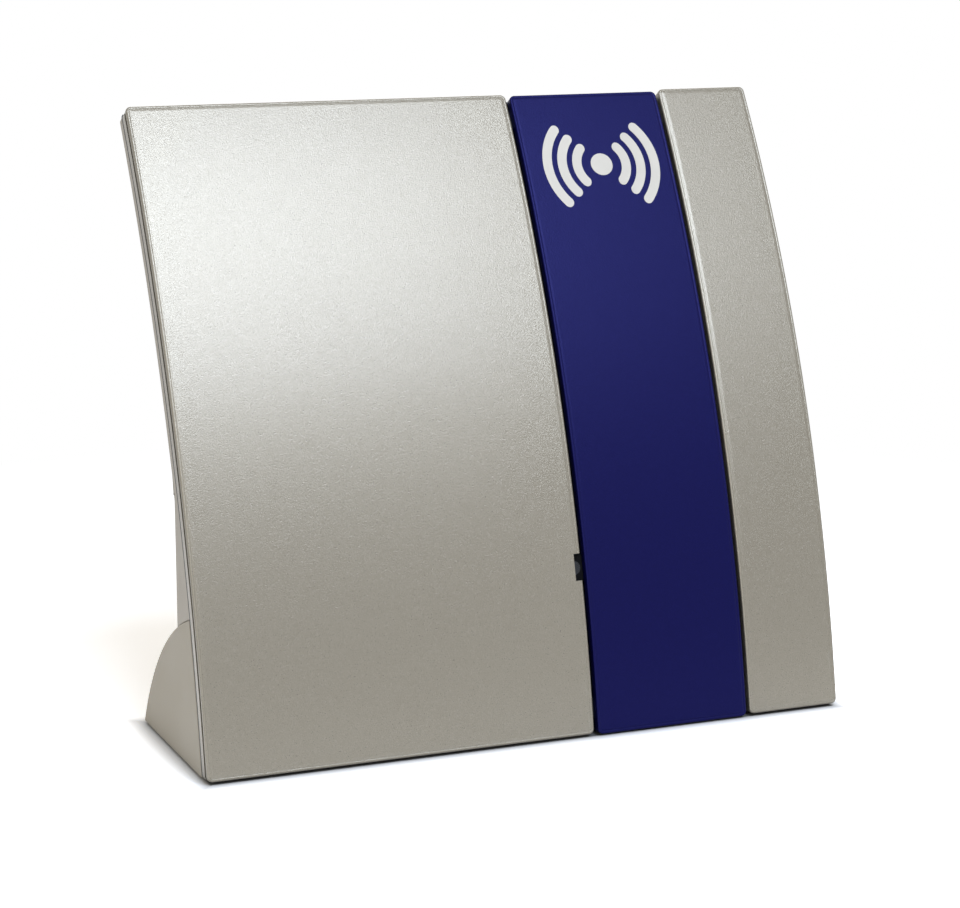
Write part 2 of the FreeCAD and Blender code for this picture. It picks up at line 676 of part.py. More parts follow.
def lies_at_depth(depth):
    """A test for edges that lie wholly at one depth behind the face."""
    def test(edge):
        middle = edge.valueAt((edge.FirstParameter + edge.LastParameter) / 2)
        return all(abs(depth_of(point) - float(depth)) < 1e-3 for point in (*ends_of(edge), middle))
    return test


def lies_at_rear(rear):
    """A test for round edges that lie wholly at a distance from the face's foot."""
    def test(edge):
        return all(abs(point.y - float(rear)) < 1e-4 for point in ends_of(edge))
    return test


def loose_rod(diameter, spot, direction, length):
    """A Part cylinder from a spot along a direction."""
    rod = doc.addObject("Part::Cylinder", "Rod")
    give(rod, "Radius", diameter / 2)
    give(rod, "Height", length)
    set_spot(rod, "Placement", spot, Rotation(ALONG_Z, direction))
    return rod


def loose_block(across, back, up):
    """A Part box between pairs of lengths along X, Y and Z."""
    block = doc.addObject("Part::Box", "Block")
    for extent, (low, high) in zip(("Length", "Width", "Height"), (across, back, up)):
        give(block, extent, high - low)
    set_spot(block, "Placement", (across[0], back[0], up[0]), PLAN_VIEW)
    return block


def loose_prism(edges, across):
    """A Part extrusion of an outline, seen from the side, between two places across."""
    sketch = doc.addObject("Sketcher::SketchObject", "Drawing")
    set_spot(sketch, "Placement", (across[0], 0, 0), SIDE_VIEW)
    draw(sketch, edges)
    prism = doc.addObject("Part::Extrusion", "Prism")
    prism.Base = sketch
    prism.DirMode = "Custom"
    prism.Dir = ALONG_X
    prism.Solid = True
    give(prism, "LengthFwd", across[1] - across[0])
    return prism


def difference(base, tool, label="Difference"):
    """A Part cut of one object by another."""
    cut = doc.addObject("Part::Cut", label)
    cut.Base = base
    cut.Tool = tool
    return cut


def group(label, items):
    """Separate identical solids that share one node."""
    compound = doc.addObject("Part::Compound", label)
    compound.Links = items
    return compound


def screw(seat, direction, length):
    """A screw whose shank runs from its seat along a direction, with its head behind the seat."""
    joined = doc.addObject("Part::MultiFuse", "Screw")
    joined.Shapes = [loose_rod(size.screw_diameter, seat, direction, length),
                     loose_rod(size.screw_head, seat, direction * -1, size.screw_head_height)]
    return joined


def about(middle, extent):
    """The two ends of an extent about its middle."""
    return middle - extent / 2, middle + extent / 2


def both_sides(place):
    """A place and its mirror image across the case."""
    return -place, place


PILLARS = [(across, up) for across in (size.board_left + size.pillar_inset, BOARD_RIGHT - size.pillar_inset)
           for up in (size.board_low + size.pillar_inset, BOARD_HIGH - size.pillar_inset - size.pillar_drop)]
STAND_SCREWS = [(across, up) for across in both_sides(RIB_PLACE)
                for up in (size.stand_screw_low, size.stand_screw_high)]
PLATE_SCREWS = [(across, PLATE_FRONT + size.plate_screw_front + size.plate_screw_pitch * index)
                for across in both_sides(RIB_PLACE) for index in range(2)]


# Front panels

def screw_row(columns, diameter):
    """One disc for each screw column."""
    return [Disc(column, 0, diameter) for column in columns]


def front_panel(label, span, columns, top_raise=0.0, bottom_lift=0.0, open_flanks=()):
    """One hollow panel of the face: rim, raised field, flanks and screw bosses."""
    start, end = span
    bottom = size.panel_bottom + bottom_lift
    top = angle_down(-top_raise)
    cavity_rear = size.panel_depth + size.overrun
    cavity_top = top - float(size.panel_wall) / FACE_RADIUS
    panel = Body(label)
    panel.pad(slab(0, size.panel_depth, bottom, top), span)
    panel.fillet(runs_through_depth, size.panel_corner)
    panel.fillet(lies_at_depth(0), size.edge_round)
    rim = size.field_inset
    panel.pad(slab(-size.field_rise, size.edge_round, bottom + rim, top - float(rim) / FACE_RADIUS),
              (start + rim, end - rim))
    panel.chamfer(lies_at_depth(-size.field_rise), size.field_bevel)
    panel.pocket(slab(size.panel_wall, cavity_rear, bottom + size.panel_wall, cavity_top),
                 (start + size.panel_wall, end - size.panel_wall))
    cleared = slab(COIL_FRONT - size.coil_clear, cavity_rear, bottom + size.panel_wall, cavity_top)
    reach = size.panel_wall + size.layer_gap
    for flank in open_flanks:
        panel.pocket(cleared, (flank - reach, flank + reach))
    for angle in (ROW_LOW, *HIGH_ROWS):
        rear = on_face(0, size.panel_depth, angle)
        panel.grow(screw_row(columns, size.boss_diameter), face_view(angle), rear,
                   size.panel_depth - size.panel_wall / 2)
        panel.cut(screw_row(columns, SCREW_HOLE), face_view(angle), rear,
                  size.panel_depth - size.screw_end + size.layer_gap)
    return panel


def left_front_panel():
    """The wide silver panel, with the sound notch in its right edge."""
    panel = front_panel("left_front_panel", LEFT_PANEL, COLUMNS[:2], open_flanks=(LEFT_PANEL[1],))
    notch = band(-size.overrun, size.panel_depth, angle_up(size.notch_start),
                 angle_up(size.notch_start + size.notch_length))
    panel.pocket(notch, (CAPSULE_PLACE, LEFT_PANEL[1] + size.left_gap / 2))
    return panel.body


def accent_front_panel():
    """The coloured strip between the two gaps."""
    return front_panel("accent_front_panel", ACCENT_PANEL, COLUMNS[2:3], top_raise=-size.accent_drop,
                       bottom_lift=size.accent_lift, open_flanks=ACCENT_PANEL).body


def right_front_panel():
    """The narrow silver panel."""
    return front_panel("right_front_panel", RIGHT_PANEL, COLUMNS[3:], top_raise=size.right_raise,
                       open_flanks=RIGHT_PANEL[:1]).body


# Inner chassis, which the panels and the rear cover are screwed to

def loop_lead_start():
    """Where the coil's lead leaves its left run, and how high that is."""
    middle = (COIL_FRONT + COIL_REAR) / 2
    return on_face(-COIL_INNER, middle, angle_at_height(COIL_FRONT, size.loop_lead_height))


LOOP_START = loop_lead_start()
LOOP_TURN = (size.board_left - COIL_INNER) / 2


def inner_chassis():
    """The black plate between the panels and the rear cover."""
    edge = HALF_WIDTH - size.chassis_inset
    past = size.chassis_thickness + 2 * size.overrun
    chassis = Body("inner_chassis")
    chassis.pad(slab(CHASSIS_FRONT, CHASSIS_REAR, size.panel_bottom + size.chassis_lift,
                     angle_down(size.chassis_inset)), both_sides(edge))
    for angle in (ROW_LOW, *HIGH_ROWS):
        chassis.cut(screw_row(COLUMNS, SCREW_HOLE), face_view(angle),
                    on_face(0, CHASSIS_REAR + size.overrun, angle), past)
    chassis.hole(size.lead_hole, on_face(CAPSULE_PLACE, CHASSIS_REAR + size.overrun, NOTCH_MIDDLE),
                 outward(NOTCH_MIDDLE), past)
    chassis.room(about(LOOP_TURN, size.window_width), (size.panel_depth, BOARD_FRONT),
                 about(size.loop_lead_height, size.window_height))
    return chassis.body


# Induction coil and the clips that hold it on the chassis

COIL_LOW = angle_up(size.coil_edge)
COIL_HIGH = angle_down(size.coil_edge)
COIL_STEP = float(size.coil_band) / FACE_RADIUS


def loop_coil():
    """The wound coil, a flat ring that follows the face."""
    coil = Body("loop_coil")
    coil.pad(band(COIL_FRONT, COIL_REAR, COIL_LOW, COIL_HIGH), both_sides(COIL_OUTER))
    coil.fillet(runs_through_depth, size.coil_corner)
    coil.pocket(band(COIL_FRONT - size.overrun, COIL_REAR + size.overrun, COIL_LOW + COIL_STEP,
                     COIL_HIGH - COIL_STEP), both_sides(COIL_INNER))
    coil.fillet(is_coil_window_corner, size.coil_corner - size.coil_band)
    return coil.body


def coil_clips():
    """Bridges over the coil: two on each upright run and three on each level run."""
    front = COIL_FRONT - size.layer_gap
    inside = float(size.layer_gap) / FACE_RADIUS
    outside = inside + float(size.clip_wall) / FACE_RADIUS
    span = size.layer_gap + size.clip_wall
    clips = []
    for place in (size.clip_low, size.clip_high):
        low, high = (angle_up(length) for length in about(place, size.clip_width))
        bridge = band(front - size.clip_wall, CHASSIS_FRONT, low, high)
        tunnel = band(front, CHASSIS_FRONT + size.overrun, low - outside, high + outside)
        for inner, outer in ((-COIL_OUTER, -COIL_INNER), (COIL_INNER, COIL_OUTER)):
            clips.append(difference(loose_prism(bridge, (inner - span, outer + span)),
                                    loose_prism(tunnel, (inner - size.layer_gap, outer + size.layer_gap))))
    for low, high in ((COIL_LOW, COIL_LOW + COIL_STEP), (COIL_HIGH - COIL_STEP, COIL_HIGH)):
        bridge = band(front - size.clip_wall, CHASSIS_FRONT, low - outside, high + outside)
        tunnel = band(front, CHASSIS_FRONT + size.overrun, low - inside, high + inside)
        for index in range(LEVEL_CLIPS):
            start, end = about(size.clip_first + size.clip_pitch * index, size.clip_width)
            clips.append(difference(loose_prism(bridge, (start, end)),
                                    loose_prism(tunnel, (start - size.overrun, end + size.overrun))))
    return group("coil_clips", clips)


# Microphone behind the notch

BOOT_FRONT = size.panel_wall + size.layer_gap
CAPSULE_REAR = BOOT_FRONT + size.capsule_depth


def microphone_boot():
    """The rubber that holds the capsule behind the notch."""
    boot = Body("microphone_boot")
    boot.pad(band(BOOT_FRONT, size.panel_depth, angle_up(size.notch_start + size.layer_gap),
                  angle_up(size.notch_start + size.notch_length - size.layer_gap)),
             about(CAPSULE_PLACE, size.boot_width))
    out = outward(NOTCH_MIDDLE)
    boot.hole(size.capsule_diameter + 2 * size.contact_gap, on_face(CAPSULE_PLACE, CAPSULE_REAR, NOTCH_MIDDLE),
              out, size.capsule_depth + size.overrun)
    boot.hole(size.lead_hole, on_face(CAPSULE_PLACE, size.panel_depth + size.overrun, NOTCH_MIDDLE), out,
              size.panel_depth - size.panel_wall)
    return boot.body


def microphone_capsule():
    """The capsule that hears the speaker."""
    capsule = Body("microphone_capsule")
    capsule.rod(size.capsule_diameter, on_face(CAPSULE_PLACE, CAPSULE_REAR - size.contact_gap, NOTCH_MIDDLE),
                outward(NOTCH_MIDDLE), size.capsule_depth - size.contact_gap)
    return capsule.body


MIC_LEAD_START = on_face(CAPSULE_PLACE, CAPSULE_REAR, NOTCH_MIDDLE)
MIC_LEAD_END = float(BOARD_FRONT - size.connector_depth / 2 - 2 * size.layer_gap)
MIC_LEAD_LENGTH = (MIC_LEAD_END - MIC_LEAD_START[1]) / cos(NOTCH_MIDDLE)
MIC_PLUG_HEIGHT = MIC_LEAD_START[2] - MIC_LEAD_LENGTH * sin(NOTCH_MIDDLE)


def microphone_lead():
    """The short lead from the capsule to the board."""
    wire = Body("microphone_lead")
    wire.rod(size.lead_diameter, MIC_LEAD_START, outward(NOTCH_MIDDLE) * -1, MIC_LEAD_LENGTH)
    return wire.body


# Rear cover: a shallow shell behind the chassis with an upright box below

def passages():
    """What the fascia and the cover let through, seen from the front."""
    discs = [(size.button_place, size.button_diameter), (size.knob_place, BUSHING)]
    discs += [(place, size.light_diameter) for place in LIGHT_PLACES]
    discs += [(place, SOCKET_BUSHING) for place in SOCKET_PLACES]
    discs.append((CHARGE_PLACE, CHARGE_BUSHING))
    return [Disc(place, CONTROL_ROW, diameter + 2 * size.hole_play) for place, diameter in discs]


def vent_slots():
    """Rows of slots on both sides of the fascia, in as many columns as have room."""
    step = size.vent_width + size.vent_space
    widest = max(-float(FASCIA[0]), float(FASCIA[1])) + float(size.vent_margin)
    room = float(HALF_WIDTH - size.vent_inset + size.vent_space) - widest
    slots = []
    for column in range(int(room // float(step))):
        outer = HALF_WIDTH - size.vent_inset - step * column
        for row in range(VENT_ROWS):
            low = CONTROL_ROW - size.vent_drop + size.vent_pitch * row
            up = (low, low + size.vent_height)
            slots.append(Slot((outer - size.vent_width, outer), up))
            slots.append(Slot((-outer, size.vent_width - outer), up))
    return slots


def rear_cover():
    """The grey shell that closes the case from behind."""
    cover = Body("rear_cover")
    edge = HALF_WIDTH - size.cover_inset
    cover.pad(outline(face_arc(COVER_FRONT, angle_at_height(COVER_FRONT, size.panel_bottom), COVER_TOP),
                      face_arc(COVER_REAR, COVER_TOP, angle_at_rear(COVER_REAR, size.box_rear)),
                      Vector(size.box_rear, size.panel_bottom, 0)), both_sides(edge))
    cover.fillet(is_upright_box_edge, size.box_round)
    for across in ((-HALF_WIDTH, -RECESS_HALF), (RECESS_HALF, HALF_WIDTH)):
        cover.pocket(cheek_outline(size.layer_gap), across)
    cavity_front = COVER_FRONT - size.overrun
    above_cheeks = cheek_top(size.stand_radius, COVER_FRONT).y + float(size.cover_wall)
    cover.pocket(band(cavity_front, COVER_CAVITY, angle_at_height(COVER_FRONT, above_cheeks),
                      angle_down(size.cover_inset + size.cover_wall)), both_sides(edge - size.cover_wall))
    box_top = angle_at_rear(COVER_CAVITY, BOX_INNER)
    cover.pocket(outline(face_arc(cavity_front, angle_at_height(cavity_front, BOX_FLOOR), box_top),
                         face_point(COVER_CAVITY, box_top), Vector(BOX_INNER, BOX_FLOOR, 0)),
                 both_sides(RECESS_HALF - size.cover_wall))
    root = COVER_CAVITY + size.rib_root
    past = size.cover_depth + 2 * size.overrun
    for angle in HIGH_ROWS:
        view = face_view(angle)
        cover.grow(screw_row(COLUMNS, size.boss_diameter), view, on_face(0, root, angle), root - COVER_FRONT)
        behind = on_face(0, COVER_REAR + size.overrun, angle)
        cover.cut(screw_row(COLUMNS, SCREW_HOLE), view, behind, past)
        cover.cut(screw_row(COLUMNS, HEAD_HOLE), view, behind,
                  size.screw_head_height + size.layer_gap + size.overrun)
    cover.room((FASCIA[0] - size.layer_gap, FASCIA[1] + size.layer_gap),
               (size.box_rear - size.fascia_thickness, size.box_rear + size.overrun),
               about(CONTROL_ROW, 2 * (size.fascia_rise + size.layer_gap)))
    cover.grow([Disc(*pillar, size.pillar_diameter) for pillar in PILLARS], FRONT_VIEW, (0, BOARD_REAR, 0),
               size.board_standoff + size.rib_root, away=True)
    cover.cut([Disc(*pillar, SCREW_HOLE) for pillar in PILLARS], FRONT_VIEW, (0, BOARD_REAR, 0),
              size.board_screw_length - size.board_thickness + size.layer_gap, away=True)
    through = [*passages(), *vent_slots(), *(Disc(*place, SCREW_HOLE) for place in STAND_SCREWS)]
    through.append(Disc(BATTERY_LEAD_PLACE, size.battery_lead_height, size.lead_hole))
    cover.cut(through, FRONT_VIEW, (0, BOX_INNER - size.overrun, 0), size.cover_wall + 2 * size.overrun,
              away=True)
    cover.cut([Disc(place, FRONT_FOOT, FOOT_HOLE) for place in both_sides(FOOT_PLACE)], PLAN_VIEW, (0, 0, 0),
              size.panel_bottom + size.foot_recess)
    return cover.body


def control_fascia():
    """The dark plate around the controls, set into the box's back."""
    fascia = Body("control_fascia")
    fascia.block(FASCIA, (size.box_rear - size.fascia_thickness + size.contact_gap, size.box_rear),
                 about(CONTROL_ROW, 2 * size.fascia_rise))
    fascia.cut(passages(), FRONT_VIEW, (0, BOX_INNER, 0), size.cover_wall + size.overrun, away=True)
    return fascia.body


# Stand: cheeks, curved back, front wall and two ribs, open below

def stand_base():
    """The hollow foot behind the case."""
    stand = Body("stand_base")
    cheeks = both_sides(CHEEK_INNER)
    stand.pad(cheek_outline(0), both_sides(HALF_WIDTH))
    stand.room(cheeks, (-STAND_FRONT, STAND_FRONT), (-size.overrun, 2 * size.stand_top))
    stand.pocket(stand_slice(STAND_INNER_FRONT, 0, STAND_INNER_RADIUS), cheeks)
    rib = stand_slice(STAND_INNER_FRONT - size.rib_root, PLATE_TOP + size.layer_gap,
                      STAND_INNER_RADIUS + size.rib_root)
    for place in both_sides(RIB_PLACE):
        stand.pad(rib, about(place, size.rib_width))
    doorway_front = DOOR_REAR - size.tongue_end - size.overrun
    stand.room(both_sides(DOOR_EDGE + size.tongue_width + size.door_play),
               (doorway_front, size.stand_depth + size.overrun), (-size.overrun, PLATE_TOP + 2 * size.door_play))
    stand.cut([Disc(*place, SCREW_HOLE) for place in PLATE_SCREWS], PLAN_VIEW, (0, 0, 0),
              size.plate_bottom + size.screw_head_height + size.plate_screw_length + size.layer_gap)
    stand.cut([Disc(*place, SCREW_HOLE) for place in STAND_SCREWS], FRONT_VIEW, (0, BOX_INNER, 0),
              size.stand_screw_length + size.layer_gap, away=True)
    stand.hole(size.lead_hole, (BATTERY_LEAD_PLACE, BOX_INNER, size.battery_lead_height), ALONG_Y,
               size.cover_wall + size.stand_front_wall + size.overrun)
    return stand.body


# Base plate with the battery bay, and the sliding battery door

TONGUE = about(size.plate_bottom + size.plate_thickness / 2, size.tongue_height)
LEAD_BACK = DOOR_FRONT + size.pack_gap + size.pack_wrap + size.cell_diameter / 2
FRONT_FOOT = (COVER_FRONT + size.box_rear) / 2
REAR_FOOT = size.stand_depth - size.rear_foot


def base_plate():
    """The plate that closes the stand from below, with the bay for the battery."""
    plate = Body("base_plate")
    bay_front = DOOR_FRONT - size.door_play
    plate.pad(outline(Vector(PLATE_FRONT, size.plate_bottom, 0), Vector(PLATE_FRONT, PLATE_TOP, 0),
                      arc_about(STAND_CENTRE, stand_point_at_height(PLATE_RADIUS, PLATE_TOP),
                                stand_point_at_height(PLATE_RADIUS, size.plate_bottom))),
              both_sides(CHEEK_INNER - size.layer_gap))
    plate.block(both_sides(DOOR_EDGE + size.bay_wall), (bay_front - size.bay_wall, BAY_REAR + size.bay_wall),
                (size.plate_bottom, BAY_ROOF + size.bay_wall))
    doorway = (bay_front, size.stand_depth)
    plate.room(both_sides(DOOR_EDGE), (bay_front, BAY_REAR), (-size.overrun, BAY_ROOF))
    plate.room(both_sides(DOOR_EDGE), doorway, (-size.overrun, PLATE_TOP + size.door_play))
    plate.room(both_sides(DOOR_EDGE + size.tongue_width), doorway,
               (TONGUE[0] - size.tongue_play, TONGUE[1] + size.tongue_play))
    plate.cut([Disc(*place, SCREW_HOLE) for place in PLATE_SCREWS], PLAN_VIEW, (0, 0, 0),
              PLATE_TOP + size.overrun)
    plate.cut([Disc(*place, HEAD_HOLE) for place in PLATE_SCREWS], PLAN_VIEW, (0, 0, 0),
              size.plate_bottom + size.screw_head_height)
    plate.cut([Disc(place, REAR_FOOT, FOOT_HOLE) for place in both_sides(FOOT_PLACE)], PLAN_VIEW, (0, 0, 0),
              size.plate_bottom + size.foot_recess)
    plate.hole(size.lead_hole, (size.bay_wall - DOOR_EDGE, LEAD_BACK, CELL_HEIGHT), ALONG_X * -1,
               2 * size.bay_wall + size.overrun)
    return plate.body


def battery_door():
    """The door under the battery, which slides out to the back on two tongues."""
    half = size.door_width / 2
    door = Body("battery_door")
    door.block(both_sides(half), (DOOR_FRONT, DOOR_REAR), (size.plate_bottom, PLATE_TOP))
    door.block(both_sides(half + size.tongue_width - size.door_play),
               (DOOR_FRONT, DOOR_REAR - size.tongue_end), TONGUE)
    grooves = []
    for index in range(GRIP_COUNT):
        rear = DOOR_REAR - size.grip_inset - size.grip_pitch * index
        grooves.append(Slot(about(0, size.grip_width), (rear, rear + size.grip_height)))
    door.cut(grooves, PLAN_VIEW, (0, 0, 0), size.plate_bottom + size.grip_depth)
    return door.body


# Battery pack, its end pads and the leads

def battery_pack():
    """Cells in film: rounds side by side, joined by a flat web, all along X."""
    reach = float(size.cell_diameter) / 2
    first = Vector(LEAD_BACK, CELL_HEIGHT, 0)
    last = first + ALONG_X * float(size.cell_diameter) * (CELLS_DEEP - 1)
    pack = Body("battery_pack")
    pack.pad(outline(Part.Arc(first + ALONG_Y * reach, first - ALONG_X * reach, first - ALONG_Y * reach),
                     Part.Arc(last - ALONG_Y * reach, last + ALONG_X * reach, last + ALONG_Y * reach)),
             both_sides(PACK_END))
    return pack.body


def battery_pads():
    """Foam between the pack's ends and the bay."""
    bay_end = size.door_width / 2 - size.layer_gap
    back = (BAY_REAR - size.cell_diameter, BAY_REAR - size.pad_least)
    up = (PLATE_TOP + size.pad_least, BAY_ROOF - size.pack_gap)
    return group("battery_pads", [loose_block(across, back, up)
                                  for across in ((-bay_end, -PACK_END), (PACK_END, bay_end))])


def lead(label, route):
    """A round lead along straight runs, with an arc as large as its runs allow at each turn."""
    points = [Vector(*spot) for spot in route]
    edges = []
    start = points[0]
    for before, corner, after in zip(points, points[1:], points[2:]):
        arriving = (corner - before).normalize()
        leaving = (after - corner).normalize()
        turn = arriving.getAngle(leaving)
        cutback = 0.45 * min((corner - before).Length, (after - corner).Length)
        radius = cutback / tan(turn / 2)
        enter = corner - arriving * cutback
        leave = corner + leaving * cutback
        middle = corner + (leaving - arriving).normalize() * (radius / cos(turn / 2) - radius)
        edges.append(Part.LineSegment(start, enter).toShape())
        edges.append(Part.Arc(enter, middle, leave).toShape())
        start = leave
        print(f"{label}: turn {degrees(turn):.0f} degrees, radius {radius:.1f} mm")
    edges.append(Part.LineSegment(start, points[-1]).toShape())
    path = Part.Wire(edges)
    reach = float(size.lead_diameter) / 2
    section = Part.Wire(Part.makeCircle(reach, points[0], (points[1] - points[0]).normalize()))
    tube = path.makePipeShell([section], True, False)
    print(f"{label}: volume {tube.Volume:.1f} against {pi * reach ** 2 * path.Length:.1f} cubic mm")
    piece = doc.addObject("Part::Feature", label)
    piece.Shape = Part.Solid(tube) if tube.ShapeType == "Shell" else tube
    return piece


def battery_lead():
    """From the pack's left end up inside the stand and forward to the board."""
    bend = LEAD_BACK - size.lead_diameter
    return lead("battery_lead", (
        (-PACK_END, LEAD_BACK, CELL_HEIGHT),
        (BATTERY_LEAD_PLACE, LEAD_BACK, CELL_HEIGHT),
        (BATTERY_LEAD_PLACE, bend, size.battery_lead_height),
        (BATTERY_LEAD_PLACE, BOARD_REAR + size.connector_depth, size.battery_lead_height),
    ))


LOOP_PLUG = (size.board_left + size.overrun, BOARD_FRONT - size.connector_depth / 2, LOOP_START[2])


def loop_lead():
    """From the coil's left run back through the chassis to the board."""
    slant = size.lead_diameter
    return lead("loop_lead", (
        LOOP_START,
        (LOOP_TURN - slant, LOOP_START[1], LOOP_START[2]),
        (LOOP_TURN + slant, LOOP_PLUG[1], LOOP_PLUG[2]),
        LOOP_PLUG,
    ))


# Circuit board and what stands on it

def main_circuit_board():
    """The board on its four pillars."""
    board = Body("main_circuit_board")
    board.block((size.board_left, BOARD_RIGHT), (BOARD_FRONT, BOARD_REAR), (size.board_low, BOARD_HIGH))
    board.cut([Disc(*pillar, SCREW_HOLE) for pillar in PILLARS], FRONT_VIEW,
              (0, BOARD_FRONT - size.overrun, 0), size.board_thickness + 2 * size.overrun, away=True)
    return board.body


def chip(label, place, height, width, depth):
    """A square chip on the board's front."""
    package = Body(label)
    package.block(about(place, width), (BOARD_FRONT - depth, BOARD_FRONT), about(height, width))
    return package.body


def amplifier_chip():
    """The chip that drives the coil."""
    return chip("amplifier_chip", size.chip_place, size.chip_height, size.chip_size, size.chip_depth)


def signal_chip():
    """The chip that levels the sound."""
    return chip("signal_chip", size.signal_place, size.signal_height, size.signal_size, size.signal_depth)


def heat_sink():
    """A finned block on the amplifier chip."""
    sink = Body("heat_sink")
    rear = BOARD_FRONT - size.chip_depth
    across = about(size.chip_place, size.sink_width)
    up = about(size.chip_height, size.sink_height)
    sink.block(across, (rear - size.sink_base, rear), up)
    step = (size.sink_width - size.fin_thickness) / (FIN_COUNT - 1)
    fins = [Slot((across[0] + step * index, across[0] + step * index + size.fin_thickness), up)
            for index in range(FIN_COUNT)]
    sink.grow(fins, FRONT_VIEW, (0, rear - size.sink_base / 2, 0), size.fin_depth + size.sink_base / 2)
    return sink.body


def storage_capacitors():
    """Upright cans on the board's front."""
    return group("storage_capacitors", [
        loose_rod(size.capacitor_diameter,
                  (size.capacitor_place + size.capacitor_pitch * index, BOARD_FRONT, size.capacitor_height),
                  ALONG_Y * -1, size.capacitor_depth) for index in range(CAPACITOR_COUNT)])


def board_connectors():
    """The board's three plug-in connectors: battery, coil and microphone."""
    battery = loose_block(about(BATTERY_LEAD_PLACE, size.connector_width),
                          (BOARD_REAR, BOARD_REAR + size.connector_depth),
                          about(size.battery_lead_height, size.connector_height))
    loop = loose_block((LOOP_PLUG[0], LOOP_PLUG[0] + size.connector_width),
                       (BOARD_FRONT - size.connector_depth, BOARD_FRONT),
                       about(LOOP_PLUG[2], size.connector_height))
    microphone = loose_block(about(CAPSULE_PLACE, size.connector_width),
                             (BOARD_FRONT - size.connector_depth / 2, BOARD_FRONT),
                             about(MIC_PLUG_HEIGHT, size.connector_height))
    return group("board_connectors", [battery, loop, microphone])


# Power switch and button

SWITCH_REAR = BOARD_REAR + size.switch_depth
FLANGE_FRONT = BOX_INNER - size.layer_gap - size.button_flange


def power_switch():
    """The switch on the board, with a bore for its plunger."""
    switch = Body("power_switch")
    depth = size.plunger_reach + size.button_travel + size.layer_gap
    switch.block(about(size.button_place, size.switch_size), (BOARD_REAR, SWITCH_REAR),
                 about(CONTROL_ROW, size.switch_size))
    switch.hole(size.plunger_diameter + 2 * size.hole_play,
                (size.button_place, SWITCH_REAR - depth, CONTROL_ROW), ALONG_Y, depth + size.overrun)
    return switch.body


def switch_plunger():
    """The plunger between the switch and the button."""
    start = SWITCH_REAR - size.plunger_reach
    plunger = Body("switch_plunger")
    plunger.rod(size.plunger_diameter, (size.button_place, start, CONTROL_ROW), ALONG_Y, FLANGE_FRONT - start)
    return plunger.body


def power_button():
    """The button, whose flange stays behind the box's back."""
    spot = (size.button_place, FLANGE_FRONT, CONTROL_ROW)
    cap_end = size.box_rear + size.button_proud
    button = Body("power_button")
    button.rod(size.button_diameter + 2 * size.button_flange, spot, ALONG_Y, size.button_flange)
    button.rod(size.button_diameter, spot, ALONG_Y, cap_end - FLANGE_FRONT)
    button.fillet(lies_at_rear(cap_end), size.button_round)
    return button.body


# Status lights

PIPE_START = BOARD_REAR + size.led_depth + size.layer_gap


def status_diodes():
    """The lights on the board."""
    return group("status_diodes", [
        loose_rod(size.light_diameter, (place, BOARD_REAR, CONTROL_ROW), ALONG_Y, size.led_depth)
        for place in LIGHT_PLACES])


def status_light_pipes():
    """Clear rods that bring the light to the fascia."""
    return group("status_light_pipes", [
        loose_rod(size.light_diameter, (place, PIPE_START, CONTROL_ROW), ALONG_Y,
                  size.box_rear + size.light_proud - PIPE_START) for place in LIGHT_PLACES])


# Level control: potentiometer, nut, shaft and knob

BUSHING_END = size.box_rear + size.bushing_proud
KNOB_START = BUSHING_END + size.knob_gap
KNOB_END = KNOB_START + size.knob_depth
SHAFT_END = KNOB_END - size.knob_roof
SHAFT_BORE = BOARD_REAR + size.dial_depth / 2


def level_potentiometer():
    """The potentiometer with its threaded bushing."""
    dial = Body("level_potentiometer")
    dial.block(about(size.knob_place, size.dial_size), (BOARD_REAR, BOARD_REAR + size.dial_depth),
               about(CONTROL_ROW, size.dial_size))
    dial.rod(BUSHING, (size.knob_place, BOARD_REAR, CONTROL_ROW), ALONG_Y, BUSHING_END - BOARD_REAR)
    dial.hole(size.shaft_diameter + 2 * size.running_gap, (size.knob_place, SHAFT_BORE, CONTROL_ROW), ALONG_Y,
              BUSHING_END - SHAFT_BORE + size.overrun)
    return dial.body


def potentiometer_shaft():
    """The shaft that the knob is pressed on."""
    start = SHAFT_BORE + size.layer_gap
    shaft = Body("potentiometer_shaft")
    shaft.rod(size.shaft_diameter, (size.knob_place, start, CONTROL_ROW), ALONG_Y, SHAFT_END - start)
    return shaft.body


def potentiometer_nut():
    """The hexagonal nut on the bushing, against the fascia."""
    blank = doc.addObject("Part::Prism", "NutBlank")
    blank.Polygon = 6
    give(blank, "Circumradius", size.nut_flats / sqrt(3))
    give(blank, "Height", size.nut_depth)
    set_spot(blank, "Placement", (size.knob_place, size.box_rear, CONTROL_ROW), Rotation(ALONG_Z, ALONG_Y))
    bore = loose_rod(BUSHING + 2 * size.contact_gap,
                     (size.knob_place, size.box_rear - size.overrun, CONTROL_ROW), ALONG_Y,
                     size.nut_depth + 2 * size.overrun)
    return group("potentiometer_nut", [difference(blank, bore)])


